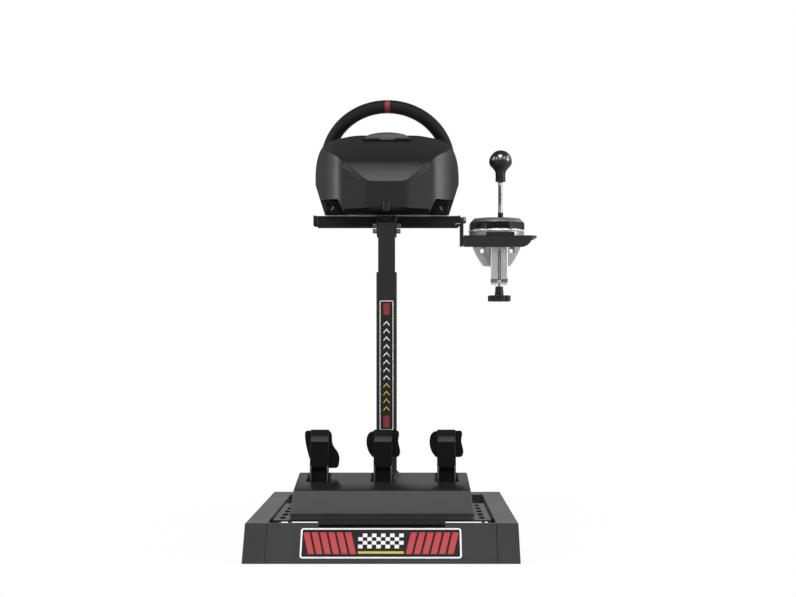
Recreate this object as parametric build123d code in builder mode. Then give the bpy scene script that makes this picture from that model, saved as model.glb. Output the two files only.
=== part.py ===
import os
from math import atan2, cos, radians, sin, tan

from build123d import *

# Racing wheel stand with a wheel unit, a pedal set and a gear shifter mounted on it.
# Origin on the floor under the column, +X towards the shifter, +Y towards the driver,
# +Z up, millimetres.

os.makedirs("parts", exist_ok=True)

# Clearances
run_gap = 0.05  # radial gap of a pin in its bore
slide_gap = 0.4  # inner tube in the outer tube, each side
seat_gap = 0.3  # curved faces that lie on each other
ear_gap = 0.2  # tilt ears beside the column
pocket_gap = 5  # pedal arm in its pocket, each side
gate_gap = 0.8  # lever stem in the gate's tracks

# Base frame
base_width = 450
base_height = 59.4
base_front = -585
base_back = 91
end_run = 55  # how far the sloped ends lean in
rail_width = 37
rail_wall = 3
rail_radius = 1.5
rail_flange = 30  # height of the inner wall between the ends
panel_sheet = 3
panel_lip = 7
bar_depth = 58
bar_lift = 10
bar_sheet = 3
foot_width = 60
foot_inset = 2

# Column
tube_size = 40
tube_wall = 3
tube_radius = 3
tube_top = 495
inner_wall = 2.5
inner_overlap = 160
inner_reach = 98
gusset_size = 46
gusset_sheet = 5
clamp_drop = 26  # clamp screw below the tube's top
clamp_boss_r = 11
clamp_boss_length = 10
clamp_knob_r = 18
clamp_knob_length = 18
clamp_lobes = 6
clamp_lobe_r = 4
clamp_chamfer = 1.5

# Pedal plate and its ledges
plate_sheet = 2.5
plate_gap = 7  # plate to rail
plate_front = -506
plate_back = -224
tongue_width = 210
tongue_seat = 5  # how far the tongue lies on the panel's lip
ledge_depth = 25
ledge_leg = 20
ledge_sheet = 3
ledge_inset = 40
slot_length = 34
slot_width = 9
slot_rows = 5
slot_pitch = 52
slot_inset = 14

# Pedal set
tray_height = 6
tray_inset = 1
housing_width = 307
housing_front = -508
housing_back = -250
housing_rise = 43  # rear face, up to the crease
housing_lean = 8
ridge_rise = 63.5
ridge_run = 118
ridge_width = 290
skirt_height = 4.8  # set-back strip under the rear face
skirt_depth = 4
shoulder_rise = 36
shoulder_run = 216
housing_radius = 3
pocket_front = 58  # from the housing's front edge
pocket_length = 56
pocket_floor = 6
shaft_r = 4
shaft_end = 14
pivot_run = 83
pivot_rise = 22
pedal_pitch = 109
arm_width = 32
arm_lean = 12  # degrees towards the driver
arm_thick = 16
arm_boss_r = 12
arm_length = 119.3
arm_step_low = 23  # lower and upper edge of the step in the arm's back, below the top
arm_step_high = 12
arm_step_out = 3
arm_step_in = 6
arm_chamfer = 1.2
arm_channel_width = 25
arm_channel_depth = 6
arm_channel_start = 16
arm_channel_length = 36.5
pad_sheet = 5
# Pad outlines: sideways from the arm's middle, down from its top
wide_pad = (
    ((-18, 46), (-26.5, 33), (-28.8, 18), (-26, 7), (-19, 1.5)),
    ((22, 0.5), (26.5, 2), (27.6, 6), (26.3, 14), (27.6, 27), (29.4, 37), (27.6, 43.5), (23, 46)),
)
tall_pad = (
    ((-11, 65), (-17, 51), (-23, 30), (-26.2, 8), (-25.5, 3), (-22, 0.5)),
    ((14, 0.5), (18.5, 3), (20.5, 14), (24, 28), (30, 36.5), (33, 43), (33, 57), (31.5, 62.5), (27, 65)),
)

# Tilting deck
deck_rise = 16.5  # above the column's top
deck_depth = 163
deck_front = 22
deck_sheet = 3
deck_margin = 2  # beyond the wheel unit, each side
deck_lip = 23
deck_lip_radius = 5
deck_edge_radius = 2
deck_rear_lip = 14
side_lip = 100
side_lip_height = 12
ear_sheet = 2.5
ear_front = -14
ear_below = 11.4
ear_radius = 8
web_front = 26
web_sheet = 3
web_above = 5.6
tilt_drop = 16.6  # tilt bolt below the column's top
bolt_pitch = 12.4
bolt_r = 3
bolt_head_r = 4.5
bolt_head = 7
notch_gap = 0.5

# Wheel unit housing
unit_width = 288
unit_foot = 246
unit_height = 164.5
unit_rear = -38
unit_flat = 72  # width of the flat rear wall
unit_flat_radius = 40  # plan corner beside the flat
unit_shoulder_x = 88
unit_shoulder_run = 26
unit_turn = (0.5, 0.86)  # plan direction just past the crease
unit_side_run = 100
unit_hip = 62  # height of the widest place
unit_tuck = 1
unit_brow = ((0, 86.5), (11, 36.5), (32, 14), (60, 5))  # in from the side, down from the top
window_rise = 42  # height of the sloped window facet
window_run = 25
window_radius = 50
chin_height = 13
chin_run = 20
corner_width = 26
corner_foot = 41  # recess width at the deck
corner_height = 31
corner_back = 30
corner_foot_depth = 16
corner_foot_gap = 3
corner_hole_r = 2.5
corner_hole_out = 6  # from the foot's middle
corner_hole_rise = 21
clip_width = 15
clip_height = 20
clip_rise = 4
clip_sheet = 4
crest_width = 98
crest_rise = 5.5
crest_depth = 20
crest_sink = 10
crest_face = 10.5  # height of the crest's rear face
crest_roof = 38  # degrees
crest_lean = 13
crest_tilt = 35  # degrees

# Steering wheel
wheel_lean = 29  # degrees
wheel_y = 161
wheel_rise = 117.3  # above the deck
rim_r = 139
grip_r = 13.5
marker_width = 11
face_back = 60  # rim plane to the driver's face of the housing
axle_r = 14
axle_reach = 24
axle_end = 1
collar_r = 32
collar_length = 27
collar_chamfer = 3
hub_r = 38
hub_depth = 26
hub_face_r = 34
hub_face_depth = 6
hub_face_chamfer = 2
spoke_root = 44
spoke_tip = 26
spoke_sheet = 5
spoke_drop = 4
spoke_hole_r = 6
spoke_hole_gap = 18
pod_width = 30
pod_height = 40
pod_depth = 9
pod_out = 58
pod_radius = 8
paddle_gap = 6
paddle_sheet = 4
paddle_reach = 100
paddle_height = 64
paddle_radius = 16

# Shifter bracket and shelf
arm_bar_sheet = 6.5
arm_bar_front = 30
arm_bar_depth = 44
arm_bar_drop = 2.5
arm_bar_lift = 5  # bar end above the shelf's lower edge
arm_bar_radius = 6
bar_bolt_r = 5
bar_bolt_head = 5
bar_bolt_pitch = 24
bar_bolt_drop = 7.5
shelf_drop = 41.5  # below the deck
shelf_sheet = 3
shelf_lip = 23
shelf_side_lip = 15
shelf_front = -8
shelf_depth = 120
shelf_length = 144.5
shelf_lip_length = 134.5
shelf_lip_radius = 22

# Shifter
unit_reach = 67  # bracket to the shifter's axis
shift_y = 52
lever_offset = 7.8
well_r = 52
bowl_r = 47.5
bowl_low_r = 27
bowl_depth = 58
bowl_rim = 22  # height below the shelf where the bowl is widest
bowl_belly_r = 40
bowl_belly = 38
bowl_window_width = 9.5
bowl_window_height = 11
bowl_window_out = 29
flange_r = 55
flange_height = 14.5
cap_width = 108.5
cap_height = 21.5
cap_bevel = 10
cap_hole_r = 30
gate_seat_r = 36
gate_drop = 4
gate_sheet = 2
pivot_drop = 8  # lever pivot below the shelf
side_throw = 15  # degrees
fore_throw = 12  # degrees
stem_r = 3
collar_rise = 3
stem_collar_r = 5
stem_collar_height = 9
rod_r = 4.5
rod_rise = 75
knob_r = 23
knob_rise = 41
knob_neck_r = 10
knob_neck = 14
trunnion_r = 2
trunnion_seat = 3
ring_width = 24
ring_hole = 15
ring_height = 9

# Shifter clamp
clamp_bar_front = 4
clamp_bar_depth = 12
clamp_bar_width = 33
clamp_bar_length = 94
clamp_bar_foot = 6
clamp_bar_chamfer = 1
clamp_bar_shift = 3  # from the shifter's axis
screw_r = 2.2
screw_slot = 6
slot_end = 5  # free end of the slot beyond the screw
screw_length = 70
handle_gap = 6
handle_neck_r = 7.5
handle_foot_r = 9
handle_neck = 18
handle_r = 23
handle_height = 12
handle_chamfer = 1.2
handle_lobes = 6
handle_lobe_r = 6.5
handle_lobe_out = 2.5

rail_inner = base_width / 2 - rail_width
front_top = base_front + end_run
back_top = base_back - end_run
inner_size = tube_size - 2 * tube_wall - 2 * slide_gap
inner_top = tube_top + inner_reach


def save(builder, name):
    builder.part.label = name
    export_step(builder.part, f"parts/{name}.step")


# Side rails: folded covers, open below, with sloped ends
def rail(side, name):
    with BuildPart() as cover:
        with BuildSketch(Plane.YZ.offset(side * rail_inner)):
            with BuildLine():
                Polyline(
                    (base_front, 0), (front_top, base_height),
                    (back_top, base_height), (base_back, 0), close=True,
                )
            make_face()
        extrude(amount=side * rail_width)
        fillet(cover.edges().group_by(Axis.Z)[1:], radius=rail_radius)
        with BuildSketch(Plane.YZ.offset(side * (rail_inner + rail_wall))):
            with BuildLine():
                Polyline(
                    (base_front + 2 * rail_wall, 0),
                    (front_top + rail_wall, base_height - rail_wall),
                    (back_top - rail_wall, base_height - rail_wall),
                    (base_back - 2 * rail_wall, 0), close=True,
                )
            make_face()
        extrude(amount=side * (rail_width - 2 * rail_wall), mode=Mode.SUBTRACT)
        with BuildSketch(Plane.YZ.offset(side * rail_inner)):
            with Locations(((front_top + back_top - bar_depth) / 2, (base_height - rail_flange) / 2)):
                Rectangle(back_top - bar_depth - front_top - end_run, base_height - rail_flange)
        extrude(amount=side * rail_wall, mode=Mode.SUBTRACT)
    save(cover, name)


rail(-1, "left_rail")
rail(1, "right_rail")

# Front panel: sloped sheet between the rails with a lip at the top
slope_length = (end_run**2 + base_height**2) ** 0.5
panel_base = panel_sheet * slope_length / base_height
with BuildPart() as front_panel:
    with BuildSketch(Plane.YZ.offset(-rail_inner)):
        with BuildLine():
            Polyline(
                (base_front, 0), (front_top, base_height),
                (front_top + panel_lip, base_height),
                (front_top + panel_lip, base_height - panel_sheet),
                (front_top + panel_base - panel_sheet * end_run / base_height, base_height - panel_sheet),
                (base_front + panel_base, 0), close=True,
            )
        make_face()
    extrude(amount=2 * rail_inner)
    fillet(front_panel.edges().filter_by(Axis.X).sort_by(Axis.Z)[-2:].sort_by(Axis.Y)[0], radius=rail_radius)
save(front_panel, "front_panel")

# Rear crossbar: a channel that joins the rails under the column
with BuildPart() as rear_crossbar:
    with BuildSketch(Plane.YZ.offset(-rail_inner)):
        with Locations((back_top - bar_depth / 2, (bar_lift + base_height) / 2)):
            RectangleRounded(bar_depth, base_height - bar_lift, rail_radius)
        with Locations((back_top - bar_depth / 2, (bar_lift + base_height) / 2 - bar_sheet)):
            Rectangle(bar_depth - 2 * bar_sheet, base_height - bar_lift, mode=Mode.SUBTRACT)
    extrude(amount=2 * rail_inner)
save(rear_crossbar, "rear_crossbar")

# Foot: a block inside the channel that stands on the floor under the column
with BuildPart() as column_foot:
    with BuildSketch():
        with Locations((0, back_top - bar_depth / 2)):
            Rectangle(foot_width, bar_depth - 2 * bar_sheet - 2 * foot_inset)
    extrude(amount=base_height - bar_sheet)
save(column_foot, "column_foot")

# Outer tube stands on the crossbar
with BuildPart() as outer_tube:
    with BuildSketch(Plane.XY.offset(base_height)):
        RectangleRounded(tube_size, tube_size, tube_radius)
        Rectangle(tube_size - 2 * tube_wall, tube_size - 2 * tube_wall, mode=Mode.SUBTRACT)
    extrude(amount=tube_top - base_height)
save(outer_tube, "outer_tube")

with BuildPart() as column_gussets:
    for side in (-1, 1):
        with BuildSketch(Plane.XZ.offset(-gusset_sheet / 2)):
            with BuildLine():
                Polyline(
                    (side * tube_size / 2, base_height),
                    (side * (tube_size / 2 + gusset_size), base_height),
                    (side * tube_size / 2, base_height + gusset_size), close=True,
                )
            make_face()
        extrude(amount=gusset_sheet)
save(column_gussets, "column_gussets")

# Height clamp: a boss and a lobed knob on the driver's side
clamp_height = tube_top - clamp_drop
with BuildPart() as height_clamp:
    with BuildSketch(Plane.XZ.offset(-tube_size / 2)):
        with Locations((0, clamp_height)):
            Circle(clamp_boss_r)
    extrude(amount=-clamp_boss_length)
    with BuildSketch(Plane.XZ.offset(-tube_size / 2 - clamp_boss_length)):
        with Locations((0, clamp_height)):
            Circle(clamp_knob_r)
            with PolarLocations(clamp_knob_r, clamp_lobes):
                Circle(clamp_lobe_r, mode=Mode.SUBTRACT)
    extrude(amount=-clamp_knob_length)
    chamfer(height_clamp.faces().sort_by(Axis.Y)[-1].edges(), length=clamp_chamfer)
save(height_clamp, "height_clamp")

tilt_height = inner_top - tilt_drop
with BuildPart() as inner_tube:
    with BuildSketch(Plane.XY.offset(tube_top - inner_overlap)):
        Rectangle(inner_size, inner_size)
        Rectangle(inner_size - 2 * inner_wall, inner_size - 2 * inner_wall, mode=Mode.SUBTRACT)
    extrude(amount=inner_reach + inner_overlap)
    with BuildSketch(Plane.YZ.offset(-inner_size)):
        with Locations((0, tilt_height)):
            Circle(bolt_r + run_gap)
    extrude(amount=2 * inner_size, mode=Mode.SUBTRACT)
save(inner_tube, "inner_tube")

# Pedal plate with a tongue that lies on the panel's lip
plate_half = rail_inner - plate_gap
plate_top = base_height + plate_sheet
plate_middle = (plate_front + plate_back) / 2
tongue_front = front_top + panel_lip - tongue_seat
with BuildPart() as pedal_plate:
    with BuildSketch(Plane.XY.offset(base_height)):
        with Locations((0, plate_middle)):
            Rectangle(2 * plate_half, plate_back - plate_front)
        with Locations((0, (tongue_front + plate_front) / 2)):
            Rectangle(tongue_width, plate_front - tongue_front)
        with Locations((slot_inset - plate_half, plate_middle), (plate_half - slot_inset, plate_middle)):
            with GridLocations(0, slot_pitch, 1, slot_rows):
                SlotOverall(slot_length, slot_width, rotation=90, mode=Mode.SUBTRACT)
    extrude(amount=plate_sheet)
save(pedal_plate, "pedal_plate")

# Angle ledges on the rails carry the plate
with BuildPart() as plate_ledges:
    for side in (-1, 1):
        with BuildSketch(Plane.XZ.offset(-plate_front - ledge_inset)):
            with BuildLine():
                Polyline(
                    (side * rail_inner, base_height),
                    (side * (rail_inner - ledge_depth), base_height),
                    (side * (rail_inner - ledge_depth), base_height - ledge_sheet),
                    (side * (rail_inner - ledge_sheet), base_height - ledge_sheet),
                    (side * (rail_inner - ledge_sheet), base_height - ledge_leg),
                    (side * rail_inner, base_height - ledge_leg), close=True,
                )
            make_face()
        extrude(amount=-(plate_back - plate_front - 2 * ledge_inset))
save(plate_ledges, "plate_ledges")

housing_bottom = plate_top + tray_height
housing_half = housing_width / 2
housing_middle = (housing_front + housing_back) / 2
with BuildPart() as pedal_tray:
    with BuildSketch(Plane.XY.offset(plate_top)):
        with Locations((0, housing_middle)):
            RectangleRounded(
                housing_width - 2 * tray_inset,
                housing_back - housing_front - 2 * tray_inset,
                housing_radius,
            )
    extrude(amount=tray_height)
save(pedal_tray, "pedal_tray")

# Pedal housing: a moulding with a sloped back, a ridge and three open pockets
pedal_centres = (-pedal_pitch, 0, pedal_pitch)
pivot_y = housing_front + pivot_run
pivot_z = housing_bottom + pivot_rise
shaft_half = pedal_pitch + arm_width / 2 + shaft_end
draft = atan2((housing_width - ridge_width) / 2, ridge_rise)
with BuildPart() as pedal_housing:
    with BuildSketch(Plane.YZ.offset(-housing_half)):
        with BuildLine():
            Polyline(
                (housing_front, housing_bottom),
                (housing_front + housing_lean, housing_bottom + housing_rise),
                (housing_front + ridge_run, housing_bottom + ridge_rise),
                (housing_front + shoulder_run, housing_bottom + shoulder_rise),
                (housing_back, housing_bottom), close=True,
            )
        make_face()
    extrude(amount=housing_width)
    for side in (-1, 1):
        wall = Plane(
            origin=(side * housing_half, 0, housing_bottom), z_dir=(side * cos(draft), 0, sin(draft)),
        )
        split(bisect_by=wall, keep=Keep.BOTTOM)
    fillet(pedal_housing.edges().group_by(Axis.Z)[1:], radius=housing_radius)
    with BuildSketch(Plane.XY.offset(housing_bottom)):
        with Locations((0, housing_front)):
            Rectangle(housing_width, 2 * skirt_depth)
    extrude(amount=skirt_height, mode=Mode.SUBTRACT)
    with BuildSketch(Plane.XY.offset(housing_bottom + pocket_floor)):
        with Locations((0, housing_front + pocket_front + pocket_length / 2)):
            with GridLocations(pedal_pitch, 0, 3, 1):
                Rectangle(arm_width + 2 * pocket_gap, pocket_length)
    extrude(amount=ridge_rise, mode=Mode.SUBTRACT)
    with BuildSketch(Plane.YZ.offset(-shaft_half)):
        with Locations((pivot_y, pivot_z)):
            Circle(shaft_r + run_gap)
    extrude(amount=2 * shaft_half, mode=Mode.SUBTRACT)
save(pedal_housing, "pedal_housing")

with BuildPart() as pedal_shaft:
    with BuildSketch(Plane.YZ.offset(-shaft_half)):
        with Locations((pivot_y, pivot_z)):
            Circle(shaft_r)
    extrude(amount=2 * shaft_half)
save(pedal_shaft, "pedal_shaft")

lean = radians(arm_lean)
arm_out = (0, cos(lean), -sin(lean))
arm_half = arm_thick / 2


# Pedal arm: a lever on the shaft with a channel and a step in its back
def pedal_arm(centre, name):
    side_plane = Plane(origin=(centre, pivot_y, pivot_z), x_dir=arm_out, z_dir=(1, 0, 0))
    with BuildPart() as arm:
        with BuildSketch(side_plane):
            Circle(arm_boss_r)
            with BuildLine():
                Polyline(
                    (-arm_half, 0), (-arm_half - arm_step_out, arm_length - arm_step_low),
                    (-arm_half + arm_step_in, arm_length - arm_step_high), (0, arm_length),
                    (arm_half, arm_length), (arm_half, 0), close=True,
                )
            make_face()
        extrude(amount=arm_width / 2, both=True)
        chamfer(arm.faces().filter_by(Axis.X).edges(), length=arm_chamfer)
        with BuildSketch(side_plane):
            with Locations((-arm_half, arm_channel_start + arm_channel_length / 2)):
                Rectangle(2 * arm_channel_depth, arm_channel_length)
        extrude(amount=arm_channel_width / 2, both=True, mode=Mode.SUBTRACT)
        with BuildSketch(side_plane):
            Circle(shaft_r + run_gap)
        extrude(amount=arm_width, both=True, mode=Mode.SUBTRACT)
    save(arm, name)


# Pad: two curved sides joined by straight ends, on the driver's side of the arm
def pedal_pad(centre, outline, name):
    face = Plane(
        origin=(centre, pivot_y + arm_half * arm_out[1], pivot_z + arm_half * arm_out[2]),
        x_dir=(1, 0, 0), z_dir=(0, -arm_out[1], -arm_out[2]),
    )
    with BuildPart() as pad:
        with BuildSketch(face):
            with BuildLine():
                curves = [[(x, arm_length - drop) for x, drop in run] for run in outline]
                for points in curves:
                    Spline(*points)
                for end, start in zip(curves, curves[1:] + curves[:1]):
                    Line(end[-1], start[0])
            make_face()
        extrude(amount=-pad_sheet)
    save(pad, name)


pedal_arm(pedal_centres[0], "throttle_arm")
pedal_arm(pedal_centres[1], "brake_arm")
pedal_arm(pedal_centres[2], "clutch_arm")
pedal_pad(pedal_centres[0], tall_pad, "throttle_pad")
pedal_pad(pedal_centres[1], wide_pad, "brake_pad")
pedal_pad(pedal_centres[2], wide_pad, "clutch_pad")

# Deck: wheel plate on a tilting bracket, with a lip round its edge
unit_half = unit_width / 2
deck_half = unit_half + deck_margin
deck_top = inner_top + deck_rise
deck_under = deck_top - deck_sheet
deck_back = deck_front + deck_depth
lip_bottom = deck_top - deck_lip
ear_inner = inner_size / 2 + ear_gap
ear_outer = ear_inner + ear_sheet
ear_bottom = tilt_height - ear_below
web_bottom = tilt_height + web_above
with BuildPart() as wheel_plate:
    with BuildSketch(Plane.XY.offset(deck_under)):
        with Locations((0, deck_front + deck_depth / 2)):
            Rectangle(2 * deck_half, deck_depth)
    extrude(amount=deck_sheet)
    with BuildSketch(Plane.XZ.offset(-deck_front)):
        with Locations((0, deck_top - deck_lip / 2)):
            RectangleRounded(2 * deck_half, deck_lip, deck_lip_radius)
        with Locations((0, deck_under - deck_lip)):
            Rectangle(2 * (ear_outer + notch_gap), 2 * deck_lip, mode=Mode.SUBTRACT)
    extrude(amount=-deck_sheet)
    top_edges = wheel_plate.edges().filter_by(Axis.X).filter_by_position(Axis.Z, deck_top, deck_top)
    fillet(top_edges.sort_by(Axis.Y)[0], radius=deck_edge_radius)
    with BuildSketch(Plane.XZ.offset(-deck_back)):
        with Locations((0, deck_top - deck_rear_lip / 2)):
            Rectangle(2 * deck_half, deck_rear_lip)
    extrude(amount=deck_sheet)
save(wheel_plate, "wheel_plate")

with BuildPart() as tilt_bracket:
    for side in (-1, 1):
        with BuildSketch(Plane.YZ.offset(side * ear_inner)):
            with Locations(((ear_front + web_front + web_sheet) / 2, (ear_bottom + deck_under) / 2)):
                Rectangle(web_front + web_sheet - ear_front, deck_under - ear_bottom)
            with Locations((0, tilt_height), (0, tilt_height + bolt_pitch)):
                Circle(bolt_r + run_gap, mode=Mode.SUBTRACT)
        extrude(amount=side * ear_sheet)
    fillet(tilt_bracket.edges().filter_by(Axis.X).group_by(Axis.Z)[0], radius=ear_radius)
    with BuildSketch(Plane.XY.offset(web_bottom)):
        with Locations((0, web_front + web_sheet / 2)):
            Rectangle(2 * ear_inner, web_sheet)
    extrude(amount=deck_under - web_bottom)
save(tilt_bracket, "tilt_bracket")

with BuildPart() as tilt_bolts:
    with BuildSketch(Plane.YZ.offset(-ear_outer)):
        with Locations((0, tilt_height)):
            Circle(bolt_r)
    extrude(amount=2 * ear_outer)
    for side in (-1, 1):
        with BuildSketch(Plane.YZ.offset(side * ear_inner)):
            with Locations((0, tilt_height + bolt_pitch)):
                Circle(bolt_r)
        extrude(amount=side * ear_sheet)
        with BuildSketch(Plane.YZ.offset(side * ear_outer)):
            with Locations((0, tilt_height), (0, tilt_height + bolt_pitch)):
                Circle(bolt_head_r)
        extrude(amount=side * bolt_head)
save(tilt_bolts, "tilt_bolts")

# Wheel unit: a faceted moulding, its plan cut to its rear outline, then the window,
# the roof and the driver's face cut as planes
tip = radians(wheel_lean)
wheel_z = deck_top + wheel_rise
wheel_axis = (0, cos(tip), sin(tip))
wheel_plane = Plane(origin=(0, wheel_y, wheel_z), x_dir=(-1, 0, 0), z_dir=wheel_axis)
unit_top = deck_top + unit_height
hip_z = deck_top + unit_hip
corner_top = deck_top + corner_height
window_top = hip_z + window_rise
window_tilt = atan2(window_run, window_rise)
face_y = wheel_y - face_back * cos(tip) - (unit_top - wheel_z + face_back * sin(tip)) * tan(tip)
roof_tilt = atan2(unit_top - window_top, face_y - unit_rear - window_run)
shoulder_y = unit_rear + unit_shoulder_run
side_y = unit_rear + unit_side_run
with BuildPart() as wheel_unit:
    with BuildSketch(Plane.XY.offset(deck_top)) as plan:
        with BuildLine():
            rear = Line((-unit_flat / 2, unit_rear), (unit_flat / 2, unit_rear))
            right = Line(rear @ 1, (unit_shoulder_x, shoulder_y))
            turn = Spline(right @ 1, (unit_half, side_y), tangents=(unit_turn, (0, 1)))
            Line(turn @ 1, (unit_half, wheel_y))
            Line((unit_half, wheel_y), (-unit_half, wheel_y))
            Line((-unit_half, wheel_y), (-unit_half, side_y))
            mirror(turn, about=Plane.YZ)
            mirror(right, about=Plane.YZ)
        make_face()
        fillet(plan.vertices().group_by(Axis.Y)[0], radius=unit_flat_radius)
    extrude(amount=unit_height)
    with BuildSketch(Plane.XZ.offset(-wheel_y)):
        with BuildLine():
            sole = Line((-unit_foot / 2, deck_top), (unit_foot / 2, deck_top))
            flank = Line(sole @ 1, (unit_half - unit_tuck, hip_z))
            shoulders = [(unit_half - inset, unit_top - drop) for inset, drop in unit_brow]
            brow = Spline(flank @ 1, *shoulders, (0, unit_top), tangents=(flank % 1, (-1, 0)))
            mirror(flank, about=Plane.YZ)
            mirror(brow, about=Plane.YZ)
        make_face()
    extrude(amount=wheel_y - unit_rear, mode=Mode.INTERSECT)
    split(
        bisect_by=Plane(origin=(0, unit_rear, hip_z), z_dir=(0, -cos(window_tilt), sin(window_tilt))),
        keep=Keep.BOTTOM,
    )
    split(
        bisect_by=Plane(
            origin=(0, unit_rear + window_run, window_top), z_dir=(0, -sin(roof_tilt), cos(roof_tilt)),
        ),
        keep=Keep.BOTTOM,
    )
    split(bisect_by=wheel_plane.offset(-face_back), keep=Keep.BOTTOM)
    level_edges = wheel_unit.edges().filter_by(Axis.X)
    fillet(level_edges.filter_by_position(Axis.Z, window_top - 1, window_top + 1), radius=window_radius)
    with BuildSketch(Plane.YZ.offset(-unit_half)):
        with BuildLine():
            Polyline(
                (unit_rear, deck_top), (unit_rear, deck_top + chin_height),
                (unit_rear + chin_run, deck_top), close=True,
            )
        make_face()
    extrude(amount=unit_width, mode=Mode.SUBTRACT)
    with BuildSketch(Plane.XZ.offset(-corner_back)):
        for side in (-1, 1):
            Polygon(
                (side * unit_width / 2, deck_top), (side * unit_width / 2, corner_top),
                (side * (unit_foot / 2 - corner_width), corner_top),
                (side * (unit_foot / 2 - corner_foot), deck_top), align=None,
            )
    extrude(amount=corner_back - unit_rear - unit_shoulder_run / 2, mode=Mode.SUBTRACT)
    with BuildSketch(wheel_plane.offset(-face_back)):
        Circle(axle_r + run_gap)
    extrude(amount=-axle_reach - axle_end, mode=Mode.SUBTRACT)
save(wheel_unit, "wheel_base_housing")

# Feet in the housing's lower corners, and a clip at the middle of its rear wall
corner_x = (unit_foot - corner_width) / 2
pad_inner = unit_foot / 2 - corner_width + corner_foot_gap
pad_outer = unit_foot / 2 - corner_foot_gap
with BuildPart() as corner_pads:
    with BuildSketch(Plane.XZ.offset(-corner_back)):
        for side in (-1, 1):
            Polygon(
                (side * pad_outer, deck_top), (side * pad_outer, corner_top - corner_foot_gap),
                (side * pad_inner, corner_top - corner_foot_gap),
                (side * (pad_inner - corner_foot + corner_width), deck_top), align=None,
            )
    extrude(amount=corner_foot_depth)
    with BuildSketch(Plane.XZ.offset(corner_foot_depth - corner_back)):
        for side in (-1, 1):
            with Locations((side * (corner_x + corner_hole_out), deck_top + corner_hole_rise)):
                Circle(corner_hole_r)
    extrude(amount=-corner_foot_depth / 2, mode=Mode.SUBTRACT)
save(corner_pads, "corner_pads")

with BuildPart() as rear_clip:
    with BuildSketch(Plane.XZ.offset(-unit_rear)):
        with Locations((0, deck_top + clip_rise + clip_height / 2)):
            RectangleRounded(clip_width, clip_height, clip_sheet)
    extrude(amount=clip_sheet)
save(rear_clip, "rear_clip")

# Crest on the housing's roof
crest_front = face_y - crest_depth
crest_foot = unit_top - crest_sink
with BuildPart() as housing_crest:
    with BuildSketch(Plane.XZ.offset(-crest_front)):
        with BuildLine():
            ridge = ThreePointArc(
                (-crest_width / 2 + crest_lean, unit_top), (0, unit_top + crest_rise),
                (crest_width / 2 - crest_lean, unit_top),
            )
            Polyline(
                ridge @ 1, (crest_width / 2, crest_foot),
                (-crest_width / 2, crest_foot), ridge @ 0,
            )
        make_face()
    extrude(amount=-crest_depth)
    split(
        bisect_by=Plane(
            origin=(0, crest_front, crest_foot),
            z_dir=(0, -cos(radians(crest_tilt)), sin(radians(crest_tilt))),
        ),
        keep=Keep.BOTTOM,
    )
    split(
        bisect_by=Plane(
            origin=(0, crest_front + crest_face * tan(radians(crest_tilt)), crest_foot + crest_face),
            z_dir=(0, -sin(radians(crest_roof)), cos(radians(crest_roof))),
        ),
        keep=Keep.BOTTOM,
    )
    split(bisect_by=wheel_plane.offset(-face_back), keep=Keep.BOTTOM)
    add(wheel_unit.part, mode=Mode.SUBTRACT)
save(housing_crest, "housing_crest")

# Steering wheel
ring_r = rim_r - grip_r
spoke_back = spoke_drop + spoke_sheet
rim_section = Plane(origin=wheel_plane.origin, x_dir=wheel_plane.x_dir, z_dir=wheel_plane.y_dir)
wheel_line = Axis(wheel_plane.origin, wheel_plane.z_dir)
with BuildPart() as shaft_collar:
    with BuildSketch(wheel_plane.offset(-face_back)):
        Circle(collar_r)
        Circle(axle_r + run_gap, mode=Mode.SUBTRACT)
    extrude(amount=collar_length)
    chamfer(
        shaft_collar.faces().sort_by(Axis.Y)[-1].edges().sort_by(SortBy.RADIUS)[-1], length=collar_chamfer,
    )
save(shaft_collar, "shaft_collar")

with BuildPart() as wheel_hub:
    with BuildSketch(wheel_plane.offset(-hub_depth)):
        Circle(hub_r)
    extrude(amount=hub_depth)
    with BuildSketch(wheel_plane.offset(-face_back - axle_reach)):
        Circle(axle_r)
    extrude(amount=face_back + axle_reach - hub_depth)
save(wheel_hub, "wheel_hub")

with BuildPart() as hub_face:
    with BuildSketch(wheel_plane):
        Circle(hub_face_r)
    extrude(amount=hub_face_depth)
    chamfer(hub_face.edges().sort_by(Axis.Y)[-1], length=hub_face_chamfer)
save(hub_face, "hub_face")


# The grip is one ring, with a coloured band let in at the top
def grip(mode, name):
    with BuildPart() as ring:
        with BuildSketch(rim_section):
            with Locations((ring_r, 0)):
                Circle(grip_r)
        revolve(axis=wheel_line)
        with BuildSketch(wheel_plane.offset(-2 * grip_r)):
            with Locations((0, ring_r)):
                Rectangle(marker_width, 4 * grip_r)
        extrude(amount=4 * grip_r, mode=mode)
    save(ring, name)


grip(Mode.SUBTRACT, "wheel_rim")
grip(Mode.INTERSECT, "rim_marker")

with BuildPart() as wheel_spokes:
    with BuildSketch(wheel_plane.offset(-spoke_back)):
        for turn_angle in (0, 180, 270):
            with Locations(Rotation(0, 0, turn_angle)):
                Polygon(
                    (0, spoke_root / 2), (0, -spoke_root / 2), (ring_r, -spoke_tip / 2),
                    (ring_r, spoke_tip / 2), align=None,
                )
                with Locations((hub_r + spoke_hole_gap, 0), (ring_r - grip_r - spoke_hole_gap, 0)):
                    Circle(spoke_hole_r, mode=Mode.SUBTRACT)
        Circle(hub_r + seat_gap, mode=Mode.SUBTRACT)
    extrude(amount=spoke_sheet)
    with BuildSketch(rim_section):
        with Locations((ring_r, 0)):
            Circle(grip_r + seat_gap)
    revolve(axis=wheel_line, mode=Mode.SUBTRACT)
save(wheel_spokes, "wheel_spokes")

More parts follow.
